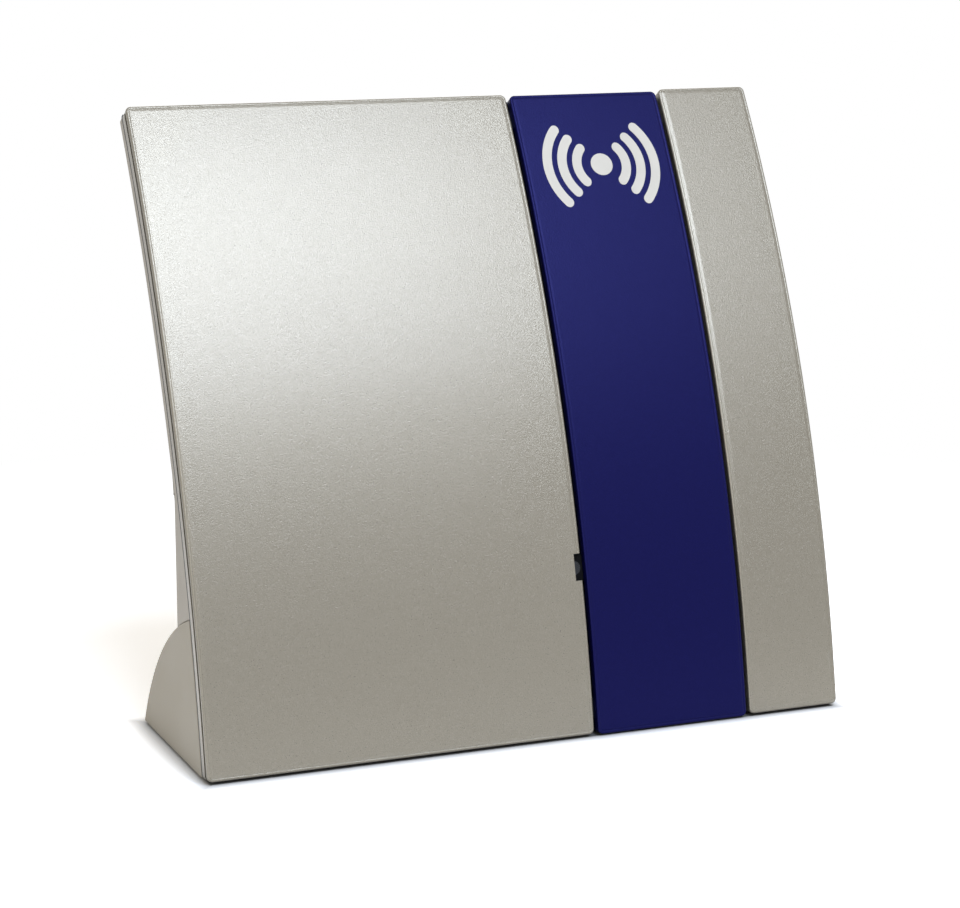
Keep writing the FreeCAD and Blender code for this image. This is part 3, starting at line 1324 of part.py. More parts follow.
def level_knob():
    """The fluted knob, with a groove that points at the level."""
    start = (size.knob_place, KNOB_START, CONTROL_ROW)
    bore_start = (size.knob_place, KNOB_START - size.overrun, CONTROL_ROW)
    knob = Body("level_knob")
    knob.rod(size.knob_diameter, start, ALONG_Y, size.knob_depth)
    knob.fillet(lies_at_rear(KNOB_END), size.knob_round)
    knob.hole(size.shaft_diameter + 2 * size.contact_gap, bore_start, ALONG_Y,
              SHAFT_END + size.contact_gap - KNOB_START + size.overrun)
    reach = size.knob_diameter / 2 + size.flute_outset
    turns = [2 * pi * index / FLUTE_COUNT for index in range(FLUTE_COUNT)]
    knob.cut([Disc(reach * sin(turn), reach * cos(turn), size.flute_diameter) for turn in turns], FRONT_VIEW,
             bore_start, size.knob_depth - size.flute_end + size.overrun, away=True)
    knob.room(about(size.knob_place, size.mark_width), (KNOB_END - size.mark_depth, KNOB_END + size.overrun),
              (CONTROL_ROW + size.mark_start, CONTROL_ROW + size.knob_diameter))
    return knob.body


# Sockets

def socket(label, place, width, bushing, end, bore, bore_depth):
    """A socket: its body on the board, its bushing through the fascia and its bore."""
    body = Body(label)
    body.block(about(place, width), (BOARD_REAR, BOX_INNER - size.layer_gap), about(CONTROL_ROW, width))
    body.rod(bushing, (place, BOARD_REAR, CONTROL_ROW), ALONG_Y, end - BOARD_REAR)
    body.hole(bore, (place, end - bore_depth, CONTROL_ROW), ALONG_Y, bore_depth + size.overrun)
    return body


def audio_sockets():
    """Three 3.5 mm jack sockets."""
    return [socket(label, place, size.socket_size, SOCKET_BUSHING, size.box_rear + size.socket_proud,
                   size.socket_bore, size.socket_bore_depth).body
            for label, place in zip(AUDIO_SOCKETS, SOCKET_PLACES)]


def ring_nut(place):
    """The ring nut of an audio socket, against the fascia."""
    outer = loose_rod(SOCKET_BUSHING + 2 * size.socket_nut_wall, (place, size.box_rear, CONTROL_ROW), ALONG_Y,
                      size.socket_proud - size.contact_gap)
    bore = loose_rod(SOCKET_BUSHING + 2 * size.contact_gap,
                     (place, size.box_rear - size.overrun, CONTROL_ROW), ALONG_Y,
                     size.socket_proud + 2 * size.overrun)
    return difference(outer, bore)


def socket_nuts():
    """The ring nuts of the three audio sockets."""
    return group("socket_nuts", [ring_nut(place) for place in SOCKET_PLACES])


def charging_socket():
    """The charger's socket, with its centre pin."""
    end = size.box_rear + size.charge_proud
    charger = socket("charging_socket", CHARGE_PLACE, size.charge_size, CHARGE_BUSHING, end, size.charge_bore,
                     size.charge_bore_depth)
    pin_start = end - size.charge_bore_depth - size.rib_root
    charger.rod(size.charge_pin, (CHARGE_PLACE, pin_start, CONTROL_ROW), ALONG_Y,
                end - size.charge_pin_inset - pin_start)
    return charger.body


# Screws

def case_screws():
    """From the rear cover through the chassis into the panels, in the two upper rows."""
    seat = COVER_REAR - size.screw_head_height - size.layer_gap + size.contact_gap
    return group("case_screws", [
        screw(on_face(column, seat, angle), outward(angle), seat - size.screw_end)
        for column in COLUMNS for angle in HIGH_ROWS])


def panel_screws():
    """From the chassis into the panels, in the lowest row."""
    seat = CHASSIS_REAR + size.contact_gap
    return group("panel_screws", [
        screw(on_face(column, seat, ROW_LOW), outward(ROW_LOW), seat - size.screw_end) for column in COLUMNS])


def board_screws():
    """Through the board into its pillars."""
    return group("board_screws", [
        screw((across, BOARD_FRONT, up), ALONG_Y, size.board_screw_length) for across, up in PILLARS])


def stand_screws():
    """From inside the box into the stand's ribs."""
    return group("stand_screws", [
        screw((across, BOX_INNER, up), ALONG_Y, size.stand_screw_length) for across, up in STAND_SCREWS])


def base_plate_screws():
    """From below into the stand's ribs."""
    seat = size.plate_bottom + size.screw_head_height
    return group("base_plate_screws", [
        screw((across, back, seat), ALONG_Z, size.plate_screw_length) for across, back in PLATE_SCREWS])


# Rubber feet

def feet(label, back, height):
    """Two round feet that stand on the counter."""
    return group(label, [loose_rod(size.foot_diameter, (place, back, 0), ALONG_Z, height)
                         for place in both_sides(FOOT_PLACE)])


def front_feet():
    """The feet under the box."""
    return feet("front_feet", FRONT_FOOT, size.panel_bottom + size.foot_recess)


def rear_feet():
    """The feet under the stand."""
    return feet("rear_feet", REAR_FOOT, size.plate_bottom + size.foot_recess)


# Build, place, check and write every sub-part

SUB_PARTS = (
    left_front_panel, accent_front_panel, right_front_panel,
    inner_chassis, loop_coil, coil_clips,
    microphone_boot, microphone_capsule, microphone_lead,
    rear_cover, control_fascia,
    stand_base, base_plate, battery_door,
    battery_pack, battery_pads, battery_lead, loop_lead,
    main_circuit_board, amplifier_chip, signal_chip, heat_sink, storage_capacitors, board_connectors,
    power_switch, switch_plunger, power_button,
    status_diodes, status_light_pipes,
    level_potentiometer, potentiometer_shaft, potentiometer_nut, level_knob,
    socket_nuts, charging_socket,
    case_screws, panel_screws, board_screws, stand_screws, base_plate_screws,
    front_feet, rear_feet,
)
pieces = [make() for make in SUB_PARTS] + audio_sockets()

FIELD_FOOT = size.panel_bottom + size.field_inset + size.field_bevel
FRONT_MOST = face_point(-size.field_rise, angle_at_height(-size.field_rise, FIELD_FOOT)).x
REAR_MOST = face_point(COVER_REAR, COVER_TOP).x
MIDDLE = (FRONT_MOST + REAR_MOST) / 2
for piece in pieces:
    piece.Placement = Placement(Vector(0, -MIDDLE, 0), Rotation())
doc.recompute()

failed = [item.Label for item in doc.Objects if {"Invalid", "Error"} & set(item.State)]
if failed:
    raise RuntimeError(f"features failed: {failed}")
for piece in pieces:
    if piece.Shape.isNull() or not piece.Shape.isValid():
        raise RuntimeError(f"{piece.Label} has no valid shape")

os.makedirs("parts", exist_ok=True)
for piece in pieces:
    piece.Shape.exportStep(os.path.join("parts", f"{piece.Label}.step"))
print(f"{len(pieces)} sub-parts written")
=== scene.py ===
"""Counter hearing loop: finishes, moulded front panels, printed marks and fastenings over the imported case.

Metres, +Z up. The curved face looks along -Y. Flat pieces that belong on the face are drawn unrolled,
as (across, behind the face, up the face), and one Geometry Nodes tree rolls them onto its arc.
"""

import logging
import math
from collections.abc import Iterable
from dataclasses import dataclass
from enum import Enum

import bmesh
import bpy
from mathutils import Matrix, Vector

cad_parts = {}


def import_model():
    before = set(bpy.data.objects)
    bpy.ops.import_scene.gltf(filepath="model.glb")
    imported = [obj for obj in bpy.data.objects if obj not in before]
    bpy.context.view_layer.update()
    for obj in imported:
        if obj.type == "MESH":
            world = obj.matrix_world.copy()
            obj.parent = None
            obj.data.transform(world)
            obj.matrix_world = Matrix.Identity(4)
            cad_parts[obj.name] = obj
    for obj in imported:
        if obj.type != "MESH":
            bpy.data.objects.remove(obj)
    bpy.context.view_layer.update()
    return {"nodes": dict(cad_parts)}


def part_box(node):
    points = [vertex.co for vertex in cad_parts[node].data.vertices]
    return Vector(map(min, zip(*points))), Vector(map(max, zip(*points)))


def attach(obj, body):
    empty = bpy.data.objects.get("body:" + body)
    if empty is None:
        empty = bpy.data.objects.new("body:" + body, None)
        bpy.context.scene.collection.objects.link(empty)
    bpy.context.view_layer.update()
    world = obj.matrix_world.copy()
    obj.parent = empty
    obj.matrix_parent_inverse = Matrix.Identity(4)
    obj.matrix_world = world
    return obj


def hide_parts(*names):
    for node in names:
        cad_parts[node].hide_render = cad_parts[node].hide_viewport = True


log = logging.getLogger("hearing_loop")

ROOT_BODY = "case"
SOFT_ANGLE = math.radians(32)
ARC_ANGLE = math.radians(3)
WHITE = (1.0, 1.0, 1.0, 1.0)
DUST = (176, 170, 158)
# Colour of the painted glint of metal flakes that catch the light.
PAINTED_GLINT_COLOUR = (226, 224, 218)

Socket = bpy.types.NodeSocket
Colour = tuple[int, int, int]
Points = list[tuple[float, float]]


class Texture(Enum):
    """How a surface breaks up the light."""

    FLAKE = "metal flakes in lacquer"
    ORANGE_PEEL = "sprayed lacquer"
    GRAIN = "moulded grain"
    LINES = "drawn metal, or tape wound turn beside turn"


class Slot(Enum):
    """The record's material slots, listed with the scene's own pieces."""

    SILVER = "silver_paint"
    BLUE = "blue_paint"
    SHELL = "grey_shell"
    STAND = "beige_shell"
    BLACK = "black_plastic"
    DARK = "dark_plastic"
    RUBBER = "black_rubber"
    STEEL = "steel"
    NICKEL = "nickel"


def linear(colour: Colour) -> tuple[float, float, float, float]:
    """Turns a screen colour of 0 to 255 into the linear colour that a shader takes."""
    shares = [part / 255 for part in colour]
    even = [share / 12.92 if share <= 0.04045 else ((share + 0.055) / 1.055) ** 2.4 for share in shares]
    return (*even, 1.0)


def lighter(colour: Colour, gain: float, lift: int) -> Colour:
    """A colour with each part multiplied by a gain and lifted by a few steps."""
    return tuple(min(255, round(part * gain + lift)) for part in colour)


def put_in_scene(name: str, data: bpy.types.ID) -> bpy.types.Object:
    """Adds an object with this data to the scene.

    Args:
        name: the object's name.
        data: its mesh, lamp or camera.

    Returns:
        The object, at the origin.
    """
    made = bpy.data.objects.new(name, data)
    bpy.context.scene.collection.objects.link(made)
    return made


def band(shape: bmesh.types.BMesh, loops: list[list[bmesh.types.BMVert]]) -> None:
    """Joins each closed loop of points to the next one with a band of faces.

    Args:
        shape: the mesh.
        loops: the loops, all with the same number of points.
    """
    for inner, outer in zip(loops, loops[1:]):
        for step in range(len(inner)):
            after = (step + 1) % len(inner)
            shape.faces.new((inner[step], inner[after], outer[after], outer[step]))


def named_sizes(maker: object, *names: str) -> dict[str, float]:
    """Some of a class's sizes, under the names that its Geometry Nodes tree gives them."""
    return {name.replace("_", " ").title(): float(getattr(maker, name)) for name in names}


class Wiring:
    """Adds nodes to one tree and joins them, from left to right."""

    def __init__(self, tree: bpy.types.NodeTree) -> None:
        """Starts on a tree."""
        self.tree = tree

    def add(self, kind: str, **settings: object) -> bpy.types.Node:
        """Adds a node.

        Args:
            kind: Blender's name of the node's type.
            settings: properties of the node.

        Returns:
            The node.
        """
        node = self.tree.nodes.new(kind)
        for name, value in settings.items():
            setattr(node, name, value)
        return node

    def put(self, socket: Socket, value: object) -> None:
        """Links an output to an input, or sets the input to a plain value.

        Args:
            socket: the input.
            value: an output socket, or a value of the input's kind.
        """
        if isinstance(value, bpy.types.NodeSocket):
            self.tree.links.new(value, socket)
        else:
            socket.default_value = value

    def feed(self, node: bpy.types.Node, **values: object) -> bpy.types.Node:
        """Sets or links inputs by name, with underscores for the spaces.

        Args:
            node: the node that takes them.
            values: a plain value, or an output socket to link from.

        Returns:
            The same node.
        """
        for name, value in values.items():
            self.put(node.inputs[name.replace("_", " ")], value)
        return node

    def made(self, kind: str, **values: object) -> Socket:
        """Adds a node with these inputs, and gives its first output."""
        return self.feed(self.add(kind), **values).outputs[0]

    def math(self, operation: str, first: object, second: object = 0.0) -> Socket:
        """One sum on plain values or sockets.

        Args:
            operation: Blender's name of the sum.
            first: the first number.
            second: the second number, where the sum takes two.

        Returns:
            The result's socket.
        """
        node = self.add("ShaderNodeMath", operation=operation)
        self.put(node.inputs[0], first)
        self.put(node.inputs[1], second)
        return node.outputs[0]

    def split(self, vector: Socket) -> list[Socket]:
        """The three numbers of a vector."""
        return list(self.feed(self.add("ShaderNodeSeparateXYZ"), Vector=vector).outputs)

    def place(self) -> Socket:
        """The place on the piece, in metres."""
        return self.add("ShaderNodeTexCoord").outputs["Object"]

    def spread(self, value: Socket, low: float, high: float, least: float = 0.0, most: float = 1.0) -> Socket:
        """Maps a range onto another one, held at its ends.

        Args:
            value: the number that runs through the first range.
            low: where the first range starts.
            high: where the first range ends.
            least: the result at the start.
            most: the result at the end.

        Returns:
            The result's socket.
        """
        node = self.feed(self.add("ShaderNodeMapRange"), Value=value)
        for socket, number in zip(list(node.inputs)[1:5], (low, high, least, most)):
            socket.default_value = number
        return node.outputs[0]

    def tint(self, mask: Socket, plain: object, other: object) -> Socket:
        """Mixes two colours by a mask.

        Args:
            mask: 0 for the plain colour, 1 for the other one.
            plain: a colour or its socket.
            other: a colour or its socket.

        Returns:
            The mixed colour's socket.
        """
        node = self.add("ShaderNodeMix", data_type="RGBA")
        for number, value in ((0, mask), (6, plain), (7, other)):
            self.put(node.inputs[number], value)
        return node.outputs[2]


class EffectGroup(Wiring):
    """A shader node group with number sockets, which several materials share."""

    def __init__(self, name: str, inputs: dict[str, float], outputs: tuple[str, ...]) -> None:
        """Starts the group.

        Args:
            name: the group's name.
            inputs: each input's name and its usual value.
            outputs: the outputs' names.
        """
        super().__init__(bpy.data.node_groups.new(name, "ShaderNodeTree"))
        for label, usual in inputs.items():
            socket = self.tree.interface.new_socket(label, in_out="INPUT", socket_type="NodeSocketFloat")
            socket.default_value = usual
        for label in outputs:
            self.tree.interface.new_socket(label, in_out="OUTPUT", socket_type="NodeSocketFloat")
        self.given = self.add("NodeGroupInput").outputs
        self.result = self.add("NodeGroupOutput")

    def finish(self, **results: Socket) -> bpy.types.NodeTree:
        """Links the group's results to its outputs, and gives its tree."""
        self.feed(self.result, **results)
        return self.tree


class PieceTree(Wiring):
    """A Geometry Nodes tree with named sizes, which ends in real geometry with a finish on it."""

    def __init__(self, name: str, sizes: Iterable[str]) -> None:
        """Starts the tree.

        Args:
            name: the tree's name.
            sizes: the names of its sizes.
        """
        super().__init__(bpy.data.node_groups.new(name, "GeometryNodeTree"))
        kinds = {"Geometry": "Geometry", **{label: "Float" for label in sizes}, "Finish": "Material"}
        for label, kind in kinds.items():
            self.tree.interface.new_socket(label, in_out="INPUT", socket_type="NodeSocket" + kind)
        self.tree.interface.new_socket("Geometry", in_out="OUTPUT", socket_type="NodeSocketGeometry")
        self.given = self.add("NodeGroupInput").outputs
        self.result = self.add("NodeGroupOutput")

    def finish(self, geometry: Socket) -> bpy.types.NodeTree:
        """Makes instances real, puts the finish on and links the result.

        Args:
            geometry: the finished geometry's socket.

        Returns:
            The tree.
        """
        real = self.made("GeometryNodeRealizeInstances", Geometry=geometry)
        dressed = self.made("GeometryNodeSetMaterial", Geometry=real, Material=self.given["Finish"])
        self.feed(self.result, Geometry=dressed)
        return self.tree


class SurfaceEffects:
    """The shared effects: grain, flakes, ripple, edge wear and dust, each a node group built once."""

    def __init__(self) -> None:
        """Builds the groups."""
        self.textures = {Texture.GRAIN: self._grain(), Texture.FLAKE: self._flakes(),
                         Texture.ORANGE_PEEL: self._peel()}
        self.wear = self._wear()
        self.dust = self._dust()

    def _grain(self) -> bpy.types.NodeTree:
        """Moulded grain: small soft pits and islands, with slow drifts of tone.

        Returns:
            The group's tree.
        """
        group = EffectGroup("moulded_grain", {"Size": 0.0006, "Drift": 0.02}, ("Height", "Tone"))
        place = group.place()
        fine = group.math("DIVIDE", 1.0, group.given["Size"])
        slow = group.math("DIVIDE", 1.0, group.given["Drift"])
        pits = group.made("ShaderNodeTexNoise", Vector=place, Scale=fine, Detail=2.0, Roughness=0.55)
        cells = group.feed(group.add("ShaderNodeTexVoronoi", feature="SMOOTH_F1"), Vector=place, Scale=fine)
        drift = group.made("ShaderNodeTexNoise", Vector=place, Scale=slow, Detail=3.0)
        return group.finish(Height=group.math("ADD", pits, cells.outputs["Distance"]),
                            Tone=group.spread(drift, 0.35, 0.65))

    def _flakes(self) -> bpy.types.NodeTree:
        """Metal flakes: cells that each get a painted glint by chance, over a faint mottle.

        Returns:
            The group's tree.
        """
        group = EffectGroup("metal_flakes", {"Size": 0.00045}, ("Height", "Tone", "Spark"))
        place = group.place()
        scale = group.math("DIVIDE", 1.0, group.given["Size"])
        cells = group.feed(group.add("ShaderNodeTexVoronoi"), Vector=place, Scale=scale)
        chance = group.add("ShaderNodeSeparateColor")
        group.put(chance.inputs[0], cells.outputs["Color"])
        mottle = group.made("ShaderNodeTexNoise", Vector=place, Scale=group.math("MULTIPLY", scale, 0.9),
                            Detail=2.0, Roughness=0.6)
        tilt = group.math("MULTIPLY", chance.outputs[1], 0.35)
        # Spark is the mask of the flakes' painted glint.
        return group.finish(Height=group.math("ADD", mottle, tilt), Tone=group.spread(mottle, 0.3, 0.7),
                            Spark=group.spread(chance.outputs[0], 0.78, 1.0))

    def _peel(self) -> bpy.types.NodeTree:
        """Sprayed lacquer: a shallow ripple with a finer speckle.

        Returns:
            The group's tree.
        """
        group = EffectGroup("sprayed_ripple", {"Size": 0.0011}, ("Height", "Tone"))
        place = group.place()
        scale = group.math("DIVIDE", 1.0, group.given["Size"])
        finer = group.math("MULTIPLY", scale, 3.1)
        ripple = group.made("ShaderNodeTexNoise", Vector=place, Scale=scale, Detail=1.5)
        speck = group.made("ShaderNodeTexNoise", Vector=place, Scale=finer, Detail=1.0)
        return group.finish(Height=group.math("ADD", ripple, group.math("MULTIPLY", speck, 0.4)),
                            Tone=group.spread(speck, 0.35, 0.65))

    def _wear(self) -> bpy.types.NodeTree:
        """Handling wear: rubbed patches on convex edges.

        Returns:
            The group's tree.
        """
        group = EffectGroup("edge_wear", {"Amount": 0.5}, ("Mask",))
        bend = group.spread(group.add("ShaderNodeNewGeometry").outputs["Pointiness"], 0.52, 0.62)
        patches = group.made("ShaderNodeTexNoise", Vector=group.place(), Scale=90.0, Detail=4.0)
        broken = group.math("MULTIPLY", bend, group.spread(patches, 0.4, 0.62))
        return group.finish(Mask=group.math("MULTIPLY", broken, group.given["Amount"]))

    def _dust(self) -> bpy.types.NodeTree:
        """Settled dust: a thin uneven film on what faces up.

        Returns:
            The group's tree.
        """
        group = EffectGroup("settled_dust", {"Amount": 0.2}, ("Mask",))
        facing = group.split(group.add("ShaderNodeNewGeometry").outputs["Normal"])
        film = group.made("ShaderNodeTexNoise", Vector=group.place(), Scale=160.0, Detail=5.0)
        uneven = group.math("MULTIPLY", group.spread(facing[2], 0.55, 1.0), group.spread(film, 0.4, 0.7))
        return group.finish(Mask=group.math("MULTIPLY", uneven, group.given["Amount"]))


@dataclass(frozen=True)
class Finish:
    """One surface, as it would be ordered: its colour, gloss and texture.

    Colours are screen values of 0 to 255; the texture's size is in metres and its depth in metres of height.
    """

    name: str
    colour: Colour
    second: Colour
    roughness: float
    texture: Texture = Texture.GRAIN
    metallic: float = 0.0
    size: float = 0.0006
    depth: float = 0.00002
    wear: float = 0.0
    worn: Colour | None = None
    dust: float = 0.08
    coat: float = 0.0
    coat_roughness: float = 0.22
    specular: float = 0.5
    # Share of painted glint on the flakes.
    painted_glint: float = 0.0
    see_through: float = 0.0
    line_density: float = 0.16

    def material(self, effects: SurfaceEffects) -> bpy.types.Material:
        """Builds the material.

        Args:
            effects: the shared node groups.

        Returns:
            The material, with colour, roughness and relief from its texture.
        """
        made = bpy.data.materials.new(self.name)
        made.use_nodes = True
        wires = Wiring(made.node_tree)
        colour, gloss, height = self._texture(wires, effects)
        rubbed = wires.feed(wires.add("ShaderNodeGroup", node_tree=effects.wear), Amount=self.wear).outputs[0]
        film = wires.feed(wires.add("ShaderNodeGroup", node_tree=effects.dust), Amount=self.dust).outputs[0]
        colour = wires.tint(rubbed, colour, linear(self.worn or lighter(self.colour, 1.18, 12)))
        colour = wires.tint(film, colour, linear(DUST))
        rough = wires.math("ADD", wires.math("ADD", gloss, wires.math("MULTIPLY", film, 0.35)),
                           wires.math("MULTIPLY", rubbed, -0.08))
        relief = wires.made("ShaderNodeBump", Height=height, Distance=self.depth, Strength=1.0)
        wires.feed(made.node_tree.nodes["Principled BSDF"], Base_Color=colour, Roughness=rough, Normal=relief,
                   Metallic=self.metallic, Specular_IOR_Level=self.specular, Coat_Weight=self.coat,
                   Coat_Roughness=self.coat_roughness, Transmission_Weight=self.see_through)
        return made

    def _texture(self, wires: Wiring, effects: SurfaceEffects) -> tuple[Socket, Socket, Socket]:
        """Places the texture's nodes.

        Args:
            wires: the material's nodes.
            effects: the shared node groups.

        Returns:
            The colour, the roughness and the height.
        """
        sharper, duller = 0.04, 0.05
        if self.texture is Texture.LINES:
            wave = wires.add("ShaderNodeTexWave", bands_direction="DIAGONAL")
            wires.feed(wave, Vector=wires.place(), Scale=self.line_density / self.size, Distortion=1.2,
                       Detail=2.0)
            tone = height = wave.outputs["Fac"]
            sharper, duller = 0.05, 0.08
        else:
            node = wires.add("ShaderNodeGroup", node_tree=effects.textures[self.texture])
            wires.feed(node, Size=self.size)
            tone, height = node.outputs["Tone"], node.outputs["Height"]
        colour = wires.tint(tone, linear(self.colour), linear(self.second))
        # Flakes that catch the light get a painted glint in their colour.
        if self.texture is Texture.FLAKE:
            spark = wires.math("MULTIPLY", node.outputs["Spark"], self.painted_glint)
            colour = wires.tint(spark, colour, linear(PAINTED_GLINT_COLOUR))
            sharper, duller = 0.03, 0.04
        return colour, wires.spread(tone, 0.0, 1.0, self.roughness - sharper, self.roughness + duller), height


FINISHES = (
    Finish("silver_lacquer", (131, 125, 112), (135, 129, 116), 0.3, Texture.FLAKE, metallic=0.7, size=0.00045,
           depth=0.0001, wear=0.1, worn=(176, 174, 168), dust=0.02, coat=0.3, painted_glint=0.04),
    Finish("blue_lacquer", (10, 11, 63), (12, 13, 69), 0.34, Texture.ORANGE_PEEL, metallic=0.35, size=0.0007,
           depth=0.00006, dust=0.0, specular=0.12),
    Finish("shell_plastic", (168, 161, 149), (171, 164, 152), 0.52, size=0.0005, depth=0.00001, dust=0.04),
    Finish("stand_plastic", (161, 153, 137), (164, 156, 140), 0.55, size=0.0005, depth=0.00001, dust=0.04),
    Finish("black_plastic", (24, 24, 26), (31, 31, 33), 0.5, size=0.0005, dust=0.04),
    Finish("dark_plastic", (43, 44, 47), (52, 53, 56), 0.48, dust=0.04),
    Finish("foot_rubber", (30, 30, 31), (38, 38, 39), 0.82, size=0.0004, wear=0.25, dust=0.3),
    Finish("boot_rubber", (9, 9, 10), (13, 13, 14), 0.8, size=0.0004, dust=0.0, specular=0.08),
    Finish("coil_tape", (27, 26, 27), (35, 34, 35), 0.5, Texture.LINES, size=0.004, wear=0.25),
    Finish("board_lacquer", (22, 84, 52), (30, 98, 62), 0.34, size=0.0012, wear=0.25, coat=0.3),
    Finish("screw_steel", (150, 151, 153), (182, 183, 185), 0.32, Texture.LINES, metallic=1.0, size=0.0003,
           wear=0.25),
    Finish("nickel_plate", (186, 184, 176), (206, 204, 196), 0.24, Texture.LINES, metallic=1.0, size=0.0002,
           wear=0.25),
    Finish("black_anodised", (28, 29, 31), (44, 45, 48), 0.4, Texture.LINES, metallic=0.6, size=0.0003,
           wear=0.25),
    Finish("cell_film", (38, 92, 132), (48, 108, 150), 0.3, size=0.002, wear=0.25, coat=0.4),
    Finish("foam_pad", (58, 58, 60), (78, 78, 80), 0.95, size=0.0007, depth=0.0001, wear=0.25),
    Finish("lead_red", (166, 34, 28), (184, 46, 38), 0.42, size=0.0008, wear=0.25),
    Finish("light_pipe", (196, 226, 196), (214, 238, 212), 0.18, size=0.002, wear=0.25, see_through=0.35),
    Finish("connector_nylon", (222, 218, 206), (232, 228, 218), 0.45, size=0.0008, wear=0.25),
    Finish("white_ink", (189, 183, 171), (194, 188, 176), 0.5, depth=0.00001, wear=0.1, dust=0.03),
)

NODE_FINISH = {
    "silver_lacquer": ("left_front_panel", "right_front_panel"),
    "blue_lacquer": ("accent_front_panel",),
    "shell_plastic": ("rear_cover",),
    "stand_plastic": ("stand_base",),
    "black_plastic": ("inner_chassis", "base_plate", "level_knob", "power_button", "power_switch",
                      "signal_chip", "amplifier_chip", "switch_plunger", "microphone_input_socket",
                      "line_input_socket", "headphone_socket", "charging_socket", "battery_door"),
    "dark_plastic": ("control_fascia", "coil_clips", "level_potentiometer", "storage_capacitors"),
    "foot_rubber": ("front_feet", "rear_feet"),
    "boot_rubber": ("microphone_boot",),
    "coil_tape": ("loop_coil",),
    "board_lacquer": ("main_circuit_board",),
    "screw_steel": ("base_plate_screws", "board_screws", "case_screws", "panel_screws", "stand_screws"),
    "nickel_plate": ("socket_nuts", "potentiometer_nut", "potentiometer_shaft"),
    "black_anodised": ("heat_sink", "microphone_capsule"),
    "cell_film": ("battery_pack",),
    "foam_pad": ("battery_pads",),
    "lead_red": ("battery_lead", "loop_lead", "microphone_lead"),
    "light_pipe": ("status_light_pipes", "status_diodes"),
    "connector_nylon": ("board_connectors",),
}

# The slot and the width of the broken edges of each node that is shown as a rounded copy.
ROUNDED = {
    "rear_cover": (Slot.SHELL, 0.0004), "stand_base": (Slot.STAND, 0.0005),
    "control_fascia": (Slot.DARK, 0.00025), "base_plate": (Slot.DARK, 0.0003),
    "battery_door": (Slot.DARK, 0.0003), "power_button": (Slot.DARK, 0.0001),
    "level_knob": (Slot.BLACK, 0.00012), "line_input_socket": (Slot.BLACK, 0.0002),
    "microphone_input_socket": (Slot.BLACK, 0.0002), "headphone_socket": (Slot.BLACK, 0.0002),
    "charging_socket": (Slot.BLACK, 0.0002), "front_feet": (Slot.RUBBER, 0.0006),
    "rear_feet": (Slot.RUBBER, 0.0006), "socket_nuts": (Slot.NICKEL, 0.0002),
    "potentiometer_nut": (Slot.NICKEL, 0.0002),
}
MOVING = ("level_knob", "power_button", "battery_door")


@dataclass(frozen=True)
class Face:
    """The arc of the face, seen from the side, how pieces are rolled onto it and its rows of screws."""

    radius: float = 0.695
    lean_foot: float = math.radians(8.87)
    lean_top: float = math.radians(32.34)
    foot_height: float = 0.0015
    box_depth: float = 0.0415
    row_low: float = 0.024
    row_middle: float = 0.153
    row_top_inset: float = 0.0236

    @property
    def length(self) -> float:
        """The length up the face."""
        return self.radius * (self.lean_top - self.lean_foot)

    @property
    def screw_rows(self) -> tuple[float, float, float]:
        """How far up the face the rows of screws lie."""
        return self.row_low, self.row_middle, self.length - self.row_top_inset

    @property
    def foot_place(self) -> float:
        """Where the face's foot stands, measured back from the fascia on the box behind it."""
        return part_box("control_fascia")[1].y - self.box_depth

    @property
    def axis(self) -> Vector:
        """A point on the line that the arc is drawn about."""
        return Vector((0.0, self.foot_place + self.radius * math.cos(self.lean_foot),
                       self.foot_height - self.radius * math.sin(self.lean_foot)))

    def outward(self, up: float) -> Vector:
        """The direction straight out of the face at a length up it."""
        angle = self.lean_foot + up / self.radius
        return Vector((0.0, -math.cos(angle), math.sin(angle)))

    def point(self, across: float, depth: float, up: float) -> Vector:
        """The place of an unrolled point once it is rolled onto the face."""
        return self.axis + Vector((across, 0.0, 0.0)) + self.outward(up) * (self.radius - depth)

    def roller(self) -> bpy.types.NodeTree:
        """Builds the tree that rolls an unrolled piece onto the face.

        Returns:
            The tree, with the arc's sizes and the finish as named inputs.
        """
        wires = PieceTree("roll_onto_face", self.sizes())
        radius, lean = wires.given["Radius"], wires.given["Lean Foot"]
        across, depth, up = wires.split(wires.made("GeometryNodeInputPosition"))
        angle = wires.math("ADD", lean, wires.math("DIVIDE", up, radius))
        reach = wires.math("SUBTRACT", radius, depth)
        back = wires.math("SUBTRACT", wires.math("MULTIPLY", radius, wires.math("COSINE", lean)),
                          wires.math("MULTIPLY", reach, wires.math("COSINE", angle)))
        rise = wires.math("SUBTRACT", wires.math("MULTIPLY", reach, wires.math("SINE", angle)),
                          wires.math("MULTIPLY", radius, wires.math("SINE", lean)))
        placed = wires.made("ShaderNodeCombineXYZ", X=across,
                            Y=wires.math("ADD", back, wires.given["Foot Place"]),
                            Z=wires.math("ADD", rise, wires.given["Foot Height"]))
        return wires.finish(wires.made("GeometryNodeSetPosition", Geometry=wires.given[0], Position=placed))

    def sizes(self) -> dict[str, float]:
        """The named sizes of the tree."""
        return named_sizes(self, "radius", "lean_foot", "foot_height", "foot_place")


